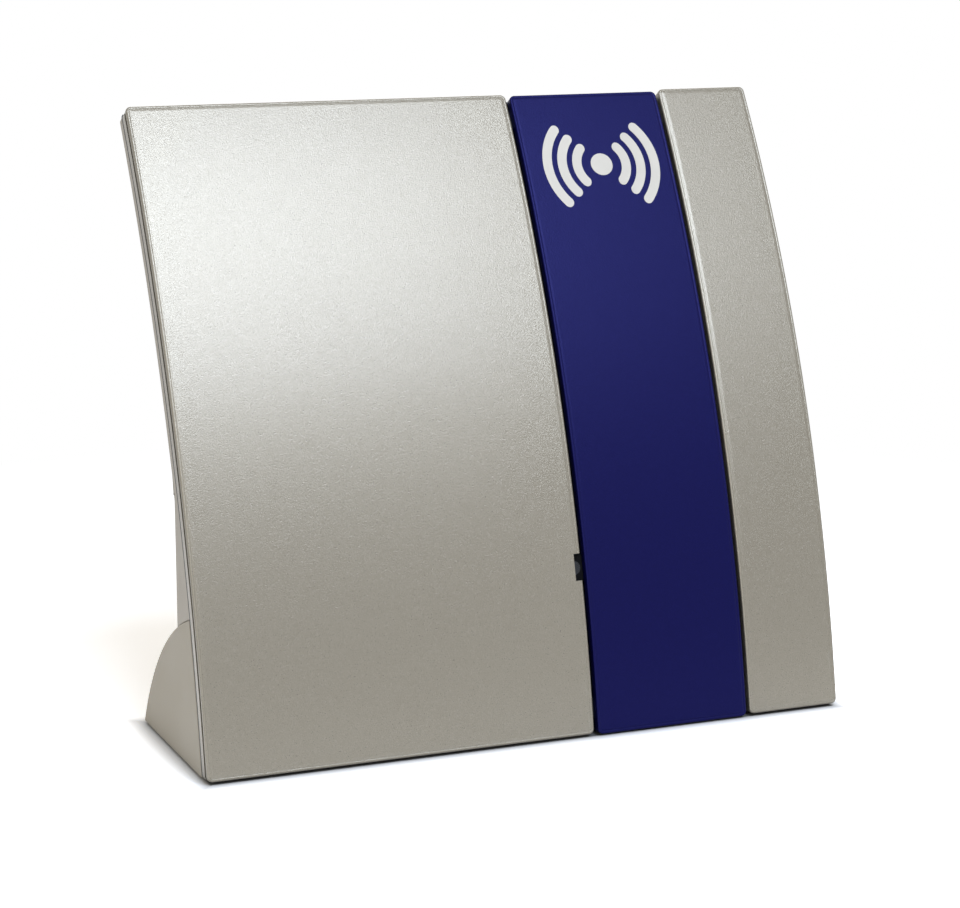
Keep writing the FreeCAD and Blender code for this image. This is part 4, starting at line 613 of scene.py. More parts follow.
class Workshop:
    """What every sub-assembly needs: the finishes, the face and the ways to finish a piece."""

    def __init__(self) -> None:
        """Builds the shared effects, the materials and the face's tree."""
        effects = SurfaceEffects()
        self.finishes = {finish.name: finish.material(effects) for finish in FINISHES}
        self.face = Face()
        self.rolled = self.face.roller()

    def object_from(self, shape: bmesh.types.BMesh, name: str, finish: str) -> bpy.types.Object:
        """Turns a bmesh into an object at the origin, with its doubles merged and its faces outwards.

        Args:
            shape: the mesh, which is used up.
            name: the piece's name.
            finish: the name of its finish.

        Returns:
            The object.
        """
        bmesh.ops.remove_doubles(shape, verts=shape.verts, dist=1e-7)
        bmesh.ops.recalc_face_normals(shape, faces=shape.faces)
        mesh = bpy.data.meshes.new(name)
        shape.to_mesh(mesh)
        shape.free()
        mesh.materials.append(self.finishes[finish])
        return put_in_scene(name, mesh)

    def settle(self, piece: bpy.types.Object, keep_normals: bool = False) -> None:
        """Applies a piece's modifiers, so that it is a plain mesh.

        Args:
            piece: the object.
            keep_normals: whether its shading stays as the modifiers left it, or follows from its angles.
        """
        bpy.context.view_layer.update()
        evaluated = piece.evaluated_get(bpy.context.evaluated_depsgraph_get())
        plain = bpy.data.meshes.new_from_object(evaluated)
        piece.modifiers.clear()
        piece.data = plain
        if not keep_normals:
            self.smooth(plain)

    def smooth(self, mesh: bpy.types.Mesh) -> None:
        """Gives a mesh smooth faces and sharp edges."""
        mesh.polygons.foreach_set("use_smooth", [True] * len(mesh.polygons))
        mesh.set_sharp_from_angle(angle=SOFT_ANGLE)

    def grow(self, piece: bpy.types.Object, tree: bpy.types.NodeTree, sizes: dict[str, float],
             finish: str) -> None:
        """Lets a Geometry Nodes tree work on a piece, and makes the result a plain mesh.

        Args:
            piece: the object with what the tree starts from.
            tree: the tree.
            sizes: its named sizes.
            finish: the name of the finish that it puts on.
        """
        modifier = piece.modifiers.new(tree.name, "NODES")
        modifier.node_group = tree
        values = {**sizes, "Finish": self.finishes[finish]}
        for item in tree.interface.items_tree:
            if item.in_out == "INPUT" and item.name in values:
                modifier[item.identifier] = values[item.name]
        self.settle(piece)

    def roll(self, piece: bpy.types.Object, finish: str) -> None:
        """Rolls an unrolled piece onto the face and makes it a plain mesh."""
        self.grow(piece, self.rolled, self.face.sizes(), finish)

    def shade_along_arc(self, piece: bpy.types.Object) -> None:
        """Lets the shading of the skins that run with the face follow its arc, also between their holes.

        Args:
            piece: a finished piece.
        """
        mesh, axis = piece.data, self.face.axis
        normals = [corner.vector.copy() for corner in mesh.corner_normals]
        for polygon in mesh.polygons:
            for index in polygon.loop_indices:
                inward = axis - mesh.vertices[mesh.loops[index].vertex_index].co
                inward.x = 0.0
                inward.normalize()
                agreement = inward.dot(polygon.normal)
                if abs(agreement) > math.cos(ARC_ANGLE):
                    normals[index] = inward * math.copysign(1.0, agreement)
        mesh.normals_split_custom_set(normals)

    def hand_over(self, piece: bpy.types.Object, replaced: tuple[str, ...] = (),
                  body: str = ROOT_BODY) -> None:
        """Lets a finished piece ride on its body, and hides the nodes that it stands for.

        Args:
            piece: the finished piece.
            replaced: the nodes that it stands for.
            body: the body that it rides on.
        """
        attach(piece, body)
        if replaced:
            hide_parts(*replaced)
        log.info("%s: %d faces, on %s", piece.name, len(piece.data.polygons), body)


@dataclass(frozen=True)
class Sides:
    """One number for each side of a panel, as seen from the front."""

    left: float = 0.0
    right: float = 0.0
    low: float = 0.0
    high: float = 0.0

    @classmethod
    def even(cls, value: float) -> "Sides":
        """The same number on all sides."""
        return cls(value, value, value, value)


@dataclass
class FrontPanel:
    """One of the three moulded front panels: a shell with a rounded rim, a groove and a raised field."""

    node: str
    finish: str
    slot: Slot
    left: float
    right: float
    low: float
    high: float
    flank: Sides
    bosses: tuple[tuple[float, float], ...]
    corner: float = 0.0024
    least_corner: float = 0.0003
    wall: float = 0.0024
    lip: float = 0.003
    rim_round: float = 0.0009
    groove_width: float = 0.0004
    groove_depth: float = 0.0001
    field_start: float = 0.0015
    field_width: float = 0.0012
    field_rise: float = 0.00013
    field_insets: tuple[float, float] = (0.0022, 0.0004)
    left_sweep: float = 1.0
    seam: Sides = Sides()
    seam_start: float = 0.0014
    seam_end: float = 0.0034
    boss_radius: float = 0.0035
    boss_sink: float = 0.0002
    screw_radius: float = 0.0015
    arc_steps: int = 7
    rise_steps: int = 66
    slope_steps: int = 8
    rim_steps: int = 6
    boss_steps: int = 24

    def _half(self, inset: Sides, mirrored: bool) -> Points:
        """Half of a rounded outline.

        Args:
            inset: how far each side lies inside the panel's outline.
            mirrored: whether it is the right half.

        Returns:
            Its points, from the lower to the upper end.
        """
        edge = self.right - inset.right if mirrored else self.left + inset.left
        into = -1.0 if mirrored else 1.0
        low, high = self.low + inset.low, self.high - inset.high
        radius = max(self.corner - min(inset.left, inset.right), self.least_corner)
        centre = edge + into * radius
        turns = [math.radians(90 * step / self.arc_steps) for step in range(self.arc_steps + 1)]
        points = [(centre - into * radius * math.sin(turn), low + radius - radius * math.cos(turn))
                  for turn in turns]
        span = high - low - 2 * radius
        points += [(edge, low + radius + span * step / self.rise_steps) for step in range(1, self.rise_steps)]
        points += [(centre - into * radius * math.cos(turn), high - radius + radius * math.sin(turn))
                   for turn in turns]
        return points

    def _ring(self, shape: bmesh.types.BMesh, inset: Sides, depth: Sides) -> tuple[list, list]:
        """Adds one ring of points.

        Args:
            shape: the mesh.
            inset: how far each side lies inside the panel's outline.
            depth: how far each side lies behind the face.

        Returns:
            The points of the left half and of the right half, from the foot up.
        """
        halves = []
        for mirrored in (False, True):
            side = depth.right if mirrored else depth.left
            points = self._half(inset, mirrored)
            made = []
            for number, (across, up) in enumerate(points):
                share = min(1.0, number / self.arc_steps, (len(points) - 1 - number) / self.arc_steps)
                end = depth.low if number < len(points) / 2 else depth.high
                made.append(shape.verts.new((across, end + (side - end) * share, up)))
            halves.append(made)
        return halves[0], halves[1]

    def _on_face(self, inset: float, depth: float) -> tuple[Sides, Sides]:
        """The inset and depth of a ring on the face, with the left side's sweep past the groove."""
        past = max(0.0, inset - self.field_start)
        return Sides(inset + past * (self.left_sweep - 1), inset, inset, inset), Sides.even(depth)

    def _profile(self) -> list[tuple[Sides, Sides]]:
        """The rings from the middle of the field, over the rim and down the flank, to the inner skin.

        Returns:
            The inset and the depth of each ring.
        """
        rings = [self._on_face(self.field_start + self.field_width + inset, -self.field_rise)
                 for inset in self.field_insets]
        for step in range(self.slope_steps, -1, -1):
            share = step / self.slope_steps
            rings.append(self._on_face(self.field_start + self.field_width * share,
                                       -self.field_rise * (1 - math.cos(math.pi * share)) / 2))
        groove = self.field_start - self.groove_width
        rings += [self._on_face(groove + self.groove_width / 2, self.groove_depth),
                  self._on_face(groove, 0.0)]
        for step in range(self.rim_steps + 1):
            turn = math.radians(90 * step / self.rim_steps)
            rings.append(self._on_face(self.rim_round * (1 - math.sin(turn)),
                                       self.rim_round * (1 - math.cos(turn))))
        none, wall = Sides(), Sides.even(self.wall)
        start, end = Sides.even(self.seam_start), Sides.even(self.seam_end)
        rings += [(none, start), (self.seam, start), (self.seam, end), (none, end)]
        rings += [(none, self.flank), (wall, self.flank), (wall, wall),
                  (Sides.even(self.wall + self.lip), wall)]
        return rings

    def _boss(self, shape: bmesh.types.BMesh, across: float, up: float) -> None:
        """Adds one screw boss behind the inner skin, as a closed tube.

        Args:
            shape: the mesh.
            across: how far across the face it stands.
            up: how far up the face it stands.
        """
        top = self.wall - self.boss_sink
        reach = max(self.flank.left if across < 0 else self.flank.right, self.flank.high)
        turns = [2 * math.pi * step / self.boss_steps for step in range(self.boss_steps)]
        loops = [[shape.verts.new((across + radius * math.cos(turn), deep, up + radius * math.sin(turn)))
                  for turn in turns]
                 for radius, deep in ((self.boss_radius, top), (self.boss_radius, reach),
                                      (self.screw_radius, reach), (self.screw_radius, top))]
        band(shape, loops + loops[:1])

    def build(self, shop: Workshop, notch: "SoundNotch | None" = None) -> None:
        """Builds the panel and rolls it onto the face.

        Args:
            shop: the finishes and the ways to finish a piece.
            notch: an opening to cut into the panel's edge.
        """
        shape = bmesh.new()
        rings = [self._ring(shape, inset, depth) for inset, depth in self._profile()]
        for left, right in (rings[0], rings[-1]):
            for step in range(len(left) - 1):
                shape.faces.new((left[step], right[step], right[step + 1], left[step + 1]))
        band(shape, [left + right[::-1] for left, right in rings])
        for across, up in self.bosses:
            self._boss(shape, across, up)
        panel = shop.object_from(shape, self.node + "_moulding", self.finish)
        if notch:
            notch.cut(shop, panel)
        shop.roll(panel, self.finish)
        shop.hand_over(panel, (self.node,))


@dataclass(frozen=True)
class SoundNotch:
    """The small opening in a panel's edge, in front of the microphone."""

    left: float = 0.0236
    right: float = 0.0300
    low: float = 0.0659
    high: float = 0.0775
    front: float = -0.001
    depth: float = 0.006

    def cut(self, shop: Workshop, panel: bpy.types.Object) -> None:
        """Cuts the opening out of an unrolled panel.

        Args:
            shop: the ways to finish a piece.
            panel: the panel.
        """
        shape = bmesh.new()
        bmesh.ops.create_cube(shape, size=1.0)
        size = Vector((self.right - self.left, self.depth, self.high - self.low))
        middle = Vector(((self.right + self.left) / 2, self.depth / 2 + self.front,
                         (self.high + self.low) / 2))
        bmesh.ops.transform(shape, verts=shape.verts,
                            matrix=Matrix.Translation(middle) @ Matrix.Diagonal(size).to_4x4())
        cutter = shop.object_from(shape, "notch_cutter", "black_plastic")
        modifier = panel.modifiers.new("notch", "BOOLEAN")
        modifier.operation = "DIFFERENCE"
        modifier.object = cutter
        modifier.solver = "EXACT"
        shop.settle(panel)
        bpy.data.objects.remove(cutter)


@dataclass
class SoundSign:
    """The printed sign near the top of the coloured panel: a dot between arcs of sound."""

    centre: tuple[float, float] = (0.0655, 0.2490)
    dot: float = 0.0052
    dot_rows: int = 24
    dot_trim: float = 2.0
    arcs: tuple[float, ...] = (0.0118, 0.0188, 0.0258)
    half_angle: float = math.radians(42)
    stroke: float = 0.0044
    least_width: float = 0.00005
    under: float = 0.00002
    proud: float = 0.00006
    level: float = -0.00016
    steps: int = 40
    cap_steps: int = 6
    columns: tuple[float, ...] = (-1, -0.5, 0, 0.5, 1)

    def _plate(self, shape: bmesh.types.BMesh, rows: list[Points]) -> None:
        """Adds a thin closed plate over rows of points that match one another.

        Args:
            shape: the mesh.
            rows: rows with the same number of points, from the sign's middle.
        """
        middle_across, middle_up = self.centre
        grids = [[[shape.verts.new((middle_across + across, depth, middle_up + up)) for across, up in row]
                  for row in rows] for depth in (self.level + self.under, self.level - self.proud)]
        for grid in grids:
            for row, following in zip(grid, grid[1:]):
                for step in range(len(row) - 1):
                    shape.faces.new((row[step], row[step + 1], following[step + 1], following[step]))
        band(shape, [self._border(grid) for grid in grids])

    def _border(self, grid: list[list[bmesh.types.BMVert]]) -> list[bmesh.types.BMVert]:
        """The points round the edge of a grid, in order."""
        ends, starts = [row[-1] for row in grid[1:]], [row[0] for row in grid[-2:0:-1]]
        return grid[0] + ends + grid[-1][-2::-1] + starts

    def _arc(self, radius: float, side: float) -> list[Points]:
        """One arc with round ends, on one side of the dot.

        Args:
            radius: the radius of the arc's middle line.
            side: -1 for the left, 1 for the right.

        Returns:
            Its rows of points, from the lower to the upper end.
        """
        half = self.stroke / 2
        cap = [math.radians(90 * step / self.cap_steps) for step in range(self.cap_steps)]
        ends = [(-self.half_angle - half / radius * math.cos(turn), half * math.sin(turn)) for turn in cap]
        sweep = 2 * self.half_angle
        run = [(-self.half_angle + sweep * step / self.steps, half) for step in range(self.steps + 1)]
        rows = []
        for angle, width in ends + run + [(-angle, width) for angle, width in reversed(ends)]:
            reaches = [radius + max(width, self.least_width) * share for share in self.columns]
            rows.append([(side * reach * math.cos(angle), reach * math.sin(angle)) for reach in reaches])
        return rows

    def _disc(self) -> list[Points]:
        """The dot, which has a tiny flat at its foot and its top.

        Returns:
            Its rows of points, from the foot up.
        """
        rows = []
        for step in range(self.dot_rows + 1):
            turn = math.radians(self.dot_trim + (180 - 2 * self.dot_trim) * step / self.dot_rows)
            half = self.dot * math.sin(turn)
            rows.append([(half * share, -self.dot * math.cos(turn)) for share in self.columns])
        return rows

    def build(self, shop: Workshop) -> None:
        """Builds the sign and rolls it onto the face.

        Args:
            shop: the finishes and the ways to finish a piece.
        """
        shape = bmesh.new()
        self._plate(shape, self._disc())
        for radius in self.arcs:
            for side in (-1.0, 1.0):
                self._plate(shape, self._arc(radius, side))
        sign = shop.object_from(shape, "sound_sign", "white_ink")
        shop.roll(sign, "white_ink")
        shop.hand_over(sign)


@dataclass
class FrontPanels:
    """The three front panels with their sizes up and across the face, and the sign on the middle one."""

    half_width: float = 0.145
    accent_left: float = 0.0287
    accent_right: float = 0.1000
    left_gap: float = 0.0018
    right_gap: float = 0.0016
    accent_hang: float = 0.0005
    accent_drop: float = 0.0007
    accent_rim: float = 0.0006
    accent_slope: float = 0.0006
    right_raise: float = 0.0004
    right_sweep: float = 1.25
    depth: float = 0.0067
    gap_depth: float = 0.0036
    seam: float = 0.0010
    column_outer: float = 0.118
    column_inner: float = 0.008
    column_right_inset: float = 0.0217

    @property
    def columns(self) -> tuple[float, float, float, float]:
        """How far across the face the columns of screws lie: two on the left panel, and one on each other."""
        return (-self.column_outer, self.column_inner, (self.accent_left + self.accent_right) / 2,
                self.half_width - self.column_right_inset)

    def build(self, shop: Workshop) -> None:
        """Builds the panels and the sign.

        Args:
            shop: the finishes and the ways to finish a piece.
        """
        length, gap, deep = shop.face.length, self.gap_depth, self.depth
        outer, inner, accent, right = [tuple((across, up) for up in shop.face.screw_rows)
                                       for across in self.columns]
        FrontPanel("left_front_panel", "silver_lacquer", Slot.SILVER,
                   -self.half_width, self.accent_left - self.left_gap, 0.0, length,
                   Sides(deep, gap, deep, deep), outer + inner,
                   seam=Sides(left=self.seam)).build(shop, SoundNotch())
        FrontPanel("accent_front_panel", "blue_lacquer", Slot.BLUE,
                   self.accent_left, self.accent_right, -self.accent_hang, length - self.accent_drop,
                   Sides(gap, gap, gap, deep), accent,
                   rim_round=self.accent_rim, field_width=self.accent_slope).build(shop)
        FrontPanel("right_front_panel", "silver_lacquer", Slot.SILVER,
                   self.accent_right + self.right_gap, self.half_width, 0.0, length + self.right_raise,
                   Sides(gap, deep, deep, deep), right,
                   left_sweep=self.right_sweep, seam=Sides(right=self.seam)).build(shop)
        SoundSign().build(shop)


@dataclass
class Casing:
    """The carried-over solids, dressed with their finishes, and the outer ones with their edges broken."""

    merge_within: float = 1e-6
    flat_within: float = math.radians(0.3)
    edge_over: float = math.radians(38)

    def dress(self, shop: Workshop, nodes: dict[str, bpy.types.Object]) -> None:
        """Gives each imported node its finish, and the outer ones a copy with broken edges.

        Args:
            shop: the finishes and the ways to finish a piece.
            nodes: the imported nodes' objects by name.
        """
        for finish, names in NODE_FINISH.items():
            for name in names:
                nodes[name].data.materials.clear()
                nodes[name].data.materials.append(shop.finishes[finish])
                if name in ROUNDED:
                    self._break_edges(shop, nodes[name], finish, *ROUNDED[name])

    def _break_edges(self, shop: Workshop, source: bpy.types.Object, finish: str, slot: Slot,
                     width: float) -> None:
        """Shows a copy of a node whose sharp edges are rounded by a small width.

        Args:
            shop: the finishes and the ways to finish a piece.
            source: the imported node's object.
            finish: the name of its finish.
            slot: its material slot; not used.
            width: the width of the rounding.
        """
        shape = bmesh.new()
        shape.from_mesh(source.data)
        bmesh.ops.remove_doubles(shape, verts=shape.verts, dist=self.merge_within)
        bmesh.ops.dissolve_limit(shape, angle_limit=self.flat_within, verts=shape.verts, edges=shape.edges)
        piece = shop.object_from(shape, source.name + "_rounded", finish)
        shop.smooth(piece.data)
        rounding = piece.modifiers.new("rounding", "BEVEL")
        rounding.width = width
        rounding.segments = 2
        rounding.limit_method = "ANGLE"
        rounding.angle_limit = self.edge_over
        rounding.use_clamp_overlap = False
        rounding.harden_normals = True
        shop.settle(piece, keep_normals=True)
        shop.shade_along_arc(piece)
        shop.hand_over(piece, (source.name,), source.name if source.name in MOVING else ROOT_BODY)


@dataclass
class Screws:
    """Equal screws with a cross recess, made by one Geometry Nodes tree on the points of their seats."""

    node: str
    seats: list[tuple[Vector, Vector]]
    shank_length: float
    head_radius: float = 0.0027
    head_height: float = 0.0014
    head_taper: float = 0.86
    shank_radius: float = 0.00145
    recess_span: float = 0.0030
    recess_width: float = 0.0007
    recess_depth: float = 0.0009
    head_sides: int = 32
    shank_sides: int = 20

    def _sizes(self) -> dict[str, float]:
        """The tree's named sizes."""
        return named_sizes(self, "head_radius", "head_height", "shank_radius", "shank_length",
                           "recess_span", "recess_width", "recess_depth")

    def _tree(self) -> bpy.types.NodeTree:
        """Builds the tree that puts a screw on each point, along the point's drive direction.

        Returns:
            The tree, with the screw's sizes and the finish as named inputs.
        """
        wires = PieceTree("cross_head_screws", self._sizes())
        given = wires.given
        at_head = wires.made("ShaderNodeCombineXYZ", Z=wires.math("MULTIPLY", given["Head Height"], -1.0))
        at_shank = wires.made("ShaderNodeCombineXYZ", Z=wires.math("MULTIPLY", given["Shank Length"], 0.5))
        head = wires.made("GeometryNodeMeshCone", Vertices=self.head_sides, Depth=given["Head Height"],
                          Radius_Top=given["Head Radius"],
                          Radius_Bottom=wires.math("MULTIPLY", given["Head Radius"], self.head_taper))
        cuts = wires.add("GeometryNodeJoinGeometry")
        span, width = given["Recess Span"], given["Recess Width"]
        deep = wires.math("MULTIPLY", given["Recess Depth"], 2.0)
        for wide, long in ((span, width), (width, span)):
            extent = wires.made("ShaderNodeCombineXYZ", X=wide, Y=long, Z=deep)
            bar = wires.made("GeometryNodeMeshCube", Size=extent)
            wires.feed(cuts, Geometry=wires.made("GeometryNodeTransform", Geometry=bar, Translation=at_head))
        recessed = wires.add("GeometryNodeMeshBoolean", operation="DIFFERENCE")
        wires.put(recessed.inputs[0], wires.made("GeometryNodeTransform", Geometry=head, Translation=at_head))
        wires.put(recessed.inputs[1], cuts.outputs[0])
        shank = wires.made("GeometryNodeMeshCylinder", Vertices=self.shank_sides, Depth=given["Shank Length"],
                           Radius=given["Shank Radius"])
        screw = wires.add("GeometryNodeJoinGeometry")
        wires.feed(screw, Geometry=recessed.outputs[0])
        wires.feed(screw, Geometry=wires.made("GeometryNodeTransform", Geometry=shank, Translation=at_shank))
        drive = wires.add("GeometryNodeInputNamedAttribute", data_type="FLOAT_VECTOR")
        turned = wires.add("FunctionNodeAlignRotationToVector", axis="Z")
        wires.feed(turned, Vector=wires.feed(drive, Name="drive").outputs["Attribute"])
        placed = wires.made("GeometryNodeInstanceOnPoints", Points=given[0], Instance=screw.outputs[0],
                            Rotation=turned.outputs[0])
        return wires.finish(placed)

    def build(self, shop: Workshop) -> None:
        """Builds all screws of the node as one plain mesh.

        Args:
            shop: the finishes and the ways to finish a piece.
        """
        mesh = bpy.data.meshes.new(self.node)
        mesh.from_pydata([seat for seat, _ in self.seats], [], [])
        drive = mesh.attributes.new("drive", "FLOAT_VECTOR", "POINT")
        for item, (_, direction) in zip(drive.data, self.seats):
            item.vector = direction
        screws = put_in_scene(self.node + "_cross_head", mesh)
        shop.grow(screws, self._tree(), self._sizes(), "screw_steel")
        shop.hand_over(screws, (self.node,))


@dataclass
class Fastenings:
    """The screws that show from behind and from below."""

    columns: tuple[float, ...]
    case_seat: float = 0.01155
    case_shank: float = 0.00855
    plate_across: float = 0.110
    plate_backs: tuple[float, ...] = (0.0530, 0.0700)
    plate_seat: float = 0.0028
    plate_shank: float = 0.0090

    def build(self, shop: Workshop) -> None:
        """Builds the case screws and the base plate's screws.

        Args:
            shop: the face, the finishes and the ways to finish a piece.
        """
        face = shop.face
        seats = [(face.point(across, self.case_seat, up), face.outward(up))
                 for across in self.columns for up in face.screw_rows[1:]]
        Screws("case_screws", seats, self.case_shank).build(shop)
        upward = Vector((0.0, 0.0, 1.0))
        seats = [(Vector((across, face.foot_place + back, self.plate_seat)), upward)
                 for across in (-self.plate_across, self.plate_across) for back in self.plate_backs]
        Screws("base_plate_screws", seats, self.plate_shank).build(shop)


@dataclass
class ControlMarks:
    """The white marks around the rear controls: dial ticks and small generic signs."""

    proud: float = 0.00006
    under: float = 0.00002
    stroke: float = 0.00035
    sign_rise: float = 0.0085
    sign_size: float = 0.0012
    round_steps: int = 16
    tick_count: int = 11
    tick_radius: float = 0.0088
    tick_length: float = 0.0011
    tick_sweep: float = math.radians(280)

    def build(self, shop: Workshop) -> None:
        """Builds the dial's ticks and the signs on the fascia.

        Args:
            shop: the finishes and the ways to finish a piece.
        """
        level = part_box("control_fascia")[1].y
        self._ticks(shop, level)
        shape = bmesh.new()
        for node, strokes in self._signs().items():
            low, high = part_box(node)
            middle = Vector(((low.x + high.x) / 2, level, (low.z + high.z) / 2 + self.sign_rise))
            for stroke in strokes:
                self._stroke(shape, middle, stroke)
        signs = shop.object_from(shape, "control_signs", "white_ink")
        shop.settle(signs)
        shop.hand_over(signs)

    def _round(self, start: float, end: float, radius: float, up: float = 0.0) -> Points:
        """Points of an arc between two turns in degrees, counted from straight up.

        Args:
            start: the turn at the arc's start.
            end: the turn at its end.
            radius: the arc's radius.
            up: how far the arc's middle lies above the sign's.

        Returns:
            The points.
        """
        turns = [math.radians(start + (end - start) * step / self.round_steps)
                 for step in range(self.round_steps + 1)]
        return [(radius * math.sin(turn), up + radius * math.cos(turn)) for turn in turns]

    def _signs(self) -> dict[str, list[Points]]:
        """The strokes of each sign, about its own middle.

        Returns:
            The strokes as lists of points, by the node that the sign belongs to.
        """
        size = self.sign_size
        half, low, high = size * 0.45, size * 0.1, size * 0.6
        return {
            "power_button": [self._round(40, 320, size), [(0, size * 0.2), (0, size * 1.25)]],
            "line_input_socket": [self._round(0, 360, size), [(-size * 0.5, 0), (size * 0.5, 0)]],
            "microphone_input_socket": [self._round(-90, 90, half, high), self._round(90, 270, half, low),
                                        [(-half, low), (-half, high)], [(half, low), (half, high)],
                                        self._round(100, 260, size * 0.95, low),
                                        [(0, -size * 0.85), (0, -size * 1.3)]],
            "headphone_socket": [self._round(-90, 90, size), [(-size, 0), (-size, -size * 0.9)],
                                 [(size, 0), (size, -size * 0.9)]],
            "charging_socket": [[(-size * 1.1, 0), (-size * 0.4, 0)], self._round(200, -20, size * 0.5),
                                [(size * 0.5, 0), (size * 1.2, 0)]],
        }

    def _stroke(self, shape: bmesh.types.BMesh, middle: Vector, points: Points) -> None:
        """Adds one printed stroke as a thin closed plate along its points.

        Args:
            shape: the mesh.
            middle: the sign's middle on the fascia.
            points: the stroke's points, from the sign's middle.
        """
        half = self.stroke / 2
        corners = ((-self.under, -half), (-self.under, half), (self.proud, half), (self.proud, -half))
        rows = []
        for number, (across, up) in enumerate(points):
            before, after = points[max(0, number - 1)], points[min(len(points) - 1, number + 1)]
            run = Vector((after[0] - before[0], after[1] - before[1])).normalized()
            rows.append([shape.verts.new((middle.x + across - run.y * side, middle.y + deep,
                                          middle.z + up + run.x * side)) for deep, side in corners])
        band(shape, rows)
        shape.faces.new(rows[0])
        shape.faces.new(rows[-1][::-1])

    def _tick_sizes(self, level: float) -> dict[str, float]:
        """The tree's named sizes, about the level knob.

        Args:
            level: where the fascia's outer side lies.

        Returns:
            The sizes.
        """
        low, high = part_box("level_knob")
        return {**named_sizes(self, "tick_count", "tick_radius", "tick_sweep", "tick_length", "stroke"),
                "Thickness": 2 * self.proud, "Across": (low.x + high.x) / 2, "Up": (low.z + high.z) / 2,
                "Level": level}

    def _tick_tree(self, level: float) -> bpy.types.NodeTree:
        """Builds the tree that sets ticks round a dial.

        Args:
            level: where the fascia's outer side lies.

        Returns:
            The tree, with the ticks' sizes and the finish as named inputs.
        """
        wires = PieceTree("dial_ticks", self._tick_sizes(level))
        given = wires.given
        row = wires.made("GeometryNodeMeshLine", Count=given["Tick Count"])
        share = wires.math("DIVIDE", wires.made("GeometryNodeInputIndex"),
                           wires.math("SUBTRACT", given["Tick Count"], 1.0))
        turn = wires.math("MULTIPLY", given["Tick Sweep"], wires.math("SUBTRACT", share, 0.5))
        radius = given["Tick Radius"]
        across = wires.math("ADD", given["Across"], wires.math("MULTIPLY", radius, wires.math("SINE", turn)))
        up = wires.math("ADD", given["Up"], wires.math("MULTIPLY", radius, wires.math("COSINE", turn)))
        spot = wires.made("ShaderNodeCombineXYZ", X=across, Y=given["Level"], Z=up)
        placed = wires.made("GeometryNodeSetPosition", Geometry=row, Position=spot)
        extent = wires.made("ShaderNodeCombineXYZ", X=given["Stroke"], Y=given["Thickness"],
                            Z=given["Tick Length"])
        tick = wires.made("GeometryNodeMeshCube", Size=extent)
        turned = wires.made("ShaderNodeCombineXYZ", Y=turn)
        return wires.finish(wires.made("GeometryNodeInstanceOnPoints", Points=placed, Instance=tick,
                                       Rotation=turned))

    def _ticks(self, shop: Workshop, level: float) -> None:
        """Builds the ticks round the level knob.

        Args:
            shop: the finishes and the ways to finish a piece.
            level: where the fascia's outer side lies.
        """
        mesh = bpy.data.meshes.new("dial_ticks")
        mesh.from_pydata([(0.0, level, 0.0)], [], [])
        ticks = put_in_scene("dial_ticks", mesh)
        shop.grow(ticks, self._tick_tree(level), self._tick_sizes(level), "white_ink")
        shop.hand_over(ticks)


@dataclass(frozen=True)
class Lamp:
    """A soft square lamp that looks at the object's middle."""

    name: str
    position: tuple[float, float, float]
    size: float
    power: float
    tone: tuple[float, float, float]

    def build(self, target: Vector) -> None:
        """Hangs the lamp and turns it to a point.

        Args:
            target: the point.
        """
        lamp = bpy.data.lights.new(self.name, "AREA")
        lamp.energy, lamp.size, lamp.color = self.power, self.size, self.tone
        holder = put_in_scene(self.name, lamp)
        holder.location = self.position
        holder.rotation_euler = (target - Vector(self.position)).to_track_quat("-Z", "Y").to_euler()


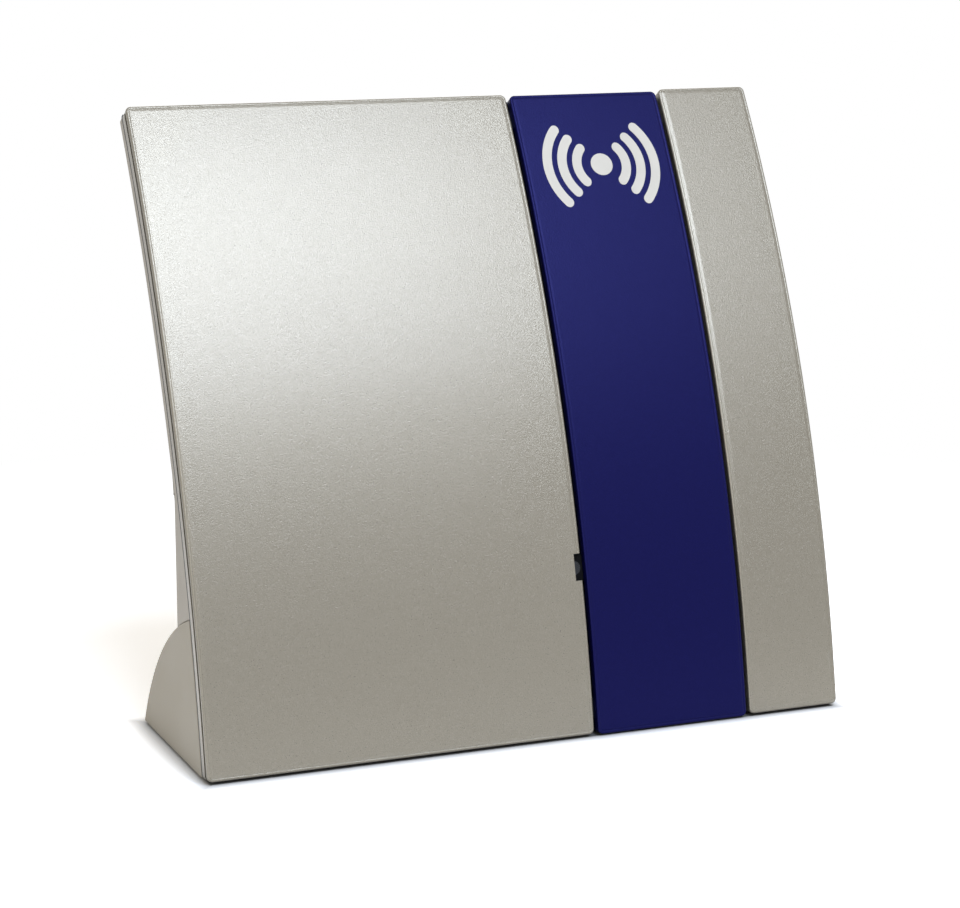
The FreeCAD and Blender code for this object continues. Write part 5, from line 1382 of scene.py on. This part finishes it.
@dataclass
class Studio:
    """The camera at the photograph's angle, the lamps, the white surroundings and the floor."""

    position: tuple[float, float, float] = (-0.44644, -1.07122, 0.35728)
    yaw: float = math.radians(22.472)
    pitch: float = math.radians(11.787)
    lens: float = 102.68
    clip_start: float = 0.01
    clip_end: float = 50.0
    lamps: tuple[Lamp, ...] = (Lamp("key_lamp", (0.15, -1.12, 1.43), 1.08, 29.0, (0.72, 0.82, 1.0)),
                               Lamp("left_fill", (-1.15, -1.25, 0.75), 1.0, 4.8, (1.0, 0.97, 0.92)),
                               Lamp("rear_fill", (0.5, 1.7, 1.0), 1.4, 9.0, (1.0, 0.98, 0.95)))
    lit_height: float = 0.13
    fill_level: float = 0.45
    floor_reach: float = 12.0
    floor_roughness: float = 0.9
    floor_white: float = 0.9
    seen_white: float = 1.62
    # Painted contact shadow on the floor: its level under the object and at the object's edge, how far each
    # reaches, and the footprint it is painted round.
    painted_shadow_under: float = 0.3
    under_reach: float = 0.001
    painted_shadow_edge: float = 0.35
    edge_reach: float = 0.009
    floor_tone: tuple[float, float, float] = (1.0, 0.975, 0.935)
    footprint: tuple[float, float, float] = (0.144, -0.0079, 0.0462)
    fade_start: float = 0.22
    fade_end: float = 0.6

    def build(self) -> None:
        """Builds the camera, lamps, surroundings and floor."""
        self._camera()
        self._surroundings()
        self._floor()
        for lamp in self.lamps:
            lamp.build(Vector((0.0, 0.0, self.lit_height)))
        bpy.context.scene.view_settings.view_transform = "Standard"

    def _camera(self) -> None:
        """Places the camera where the photograph was taken from."""
        camera = bpy.data.cameras.new("photograph_camera")
        camera.lens, camera.clip_start, camera.clip_end = self.lens, self.clip_start, self.clip_end
        holder = put_in_scene("photograph_camera", camera)
        ahead = Vector((math.sin(self.yaw) * math.cos(self.pitch), math.cos(self.yaw) * math.cos(self.pitch),
                        -math.sin(self.pitch)))
        across = Vector((math.cos(self.yaw), -math.sin(self.yaw), 0.0))
        turned = Matrix((across, across.cross(ahead), -ahead)).transposed().to_4x4()
        holder.matrix_world = Matrix.Translation(self.position) @ turned
        bpy.context.scene.camera = holder

    def _seen(self, wires: Wiring) -> Socket:
        """A mask that is 1 for what the camera, a mirror or glass sees.

        Args:
            wires: the nodes of the floor or the surroundings.

        Returns:
            The mask's socket.
        """
        path = wires.add("ShaderNodeLightPath")
        glossy = wires.math("MAXIMUM", path.outputs["Is Camera Ray"], path.outputs["Is Glossy Ray"])
        return wires.math("MAXIMUM", glossy, path.outputs["Is Transmission Ray"])

    def _surroundings(self) -> None:
        """White where it is seen, and a plain fill light elsewhere."""
        world = bpy.data.worlds.new("white_surroundings")
        world.use_nodes = True
        bpy.context.scene.world = world
        wires = Wiring(world.node_tree)
        strength = wires.spread(self._seen(wires), 0.0, 1.0, self.fill_level, 1.0)
        wires.feed(world.node_tree.nodes["Background"], Color=WHITE, Strength=strength)

    def _painted_contact_shadow(self, wires: Wiring) -> Socket:
        """Painted contact shadow: a factor that is small on the floor right under the object and rises to 1 a
        little way beside it.

        Args:
            wires: the floor's nodes.

        Returns:
            The factor's socket.
        """
        across, back, _ = wires.split(wires.place())
        half_width, middle, half_depth = self.footprint
        past_side = wires.math("SUBTRACT", wires.math("ABSOLUTE", across), half_width)
        from_middle = wires.math("ABSOLUTE", wires.math("SUBTRACT", back, middle))
        past = wires.math("MAXIMUM", past_side, wires.math("SUBTRACT", from_middle, half_depth))
        return wires.math("MULTIPLY", wires.spread(past, 0.0, self.edge_reach, self.painted_shadow_edge, 1.0),
                          wires.spread(past, -self.under_reach, 0.0, self.painted_shadow_under, 1.0))

    def _floor_finish(self) -> bpy.types.Material:
        """White with the object's cast shadow and a painted contact shadow near it, which fades to plain
        white where it is seen.

        Returns:
            The floor's material.
        """
        made = bpy.data.materials.new("floor_white")
        made.use_nodes = True
        wires, nodes = Wiring(made.node_tree), made.node_tree.nodes
        seen = self._seen(wires)
        # The seen white is darkened by the painted contact shadow round the object's footprint.
        white = wires.math("MULTIPLY", wires.spread(seen, 0.0, 1.0, self.floor_white, self.seen_white),
                           self._painted_contact_shadow(wires))
        tone = wires.add("ShaderNodeCombineColor")
        for socket, share in zip(tone.inputs[:3], self.floor_tone):
            wires.put(socket, wires.math("MULTIPLY", white, share))
        shader = wires.feed(nodes["Principled BSDF"], Base_Color=tone.outputs[0],
                            Roughness=self.floor_roughness, Specular_IOR_Level=0.0)
        away = wires.add("ShaderNodeVectorMath", operation="LENGTH")
        wires.put(away.inputs[0], wires.place())
        far = wires.spread(away.outputs["Value"], self.fade_start, self.fade_end)
        mixed = wires.feed(wires.add("ShaderNodeMixShader"), Fac=wires.math("MULTIPLY", far, seen))
        wires.put(mixed.inputs[1], shader.outputs[0])
        wires.put(mixed.inputs[2], wires.made("ShaderNodeEmission", Color=WHITE, Strength=1.0))
        wires.feed(nodes["Material Output"], Surface=mixed.outputs[0])
        return made

    def _floor(self) -> None:
        """Lays the floor, which is no part of the object."""
        shape = bmesh.new()
        bmesh.ops.create_grid(shape, x_segments=1, y_segments=1, size=self.floor_reach)
        mesh = bpy.data.meshes.new("studio_floor")
        shape.to_mesh(mesh)
        shape.free()
        mesh.materials.append(self._floor_finish())
        put_in_scene("studio_floor", mesh)


def main() -> None:
    """Builds the object's finishes and pieces, and the studio round it."""
    logging.basicConfig(level=logging.INFO, format="%(name)s: %(message)s")
    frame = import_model()
    shop = Workshop()
    Casing().dress(shop, frame["nodes"])
    panels = FrontPanels()
    panels.build(shop)
    Fastenings(panels.columns).build(shop)
    ControlMarks().build(shop)
    Studio().build()


if __name__ == "__main__":
    main()
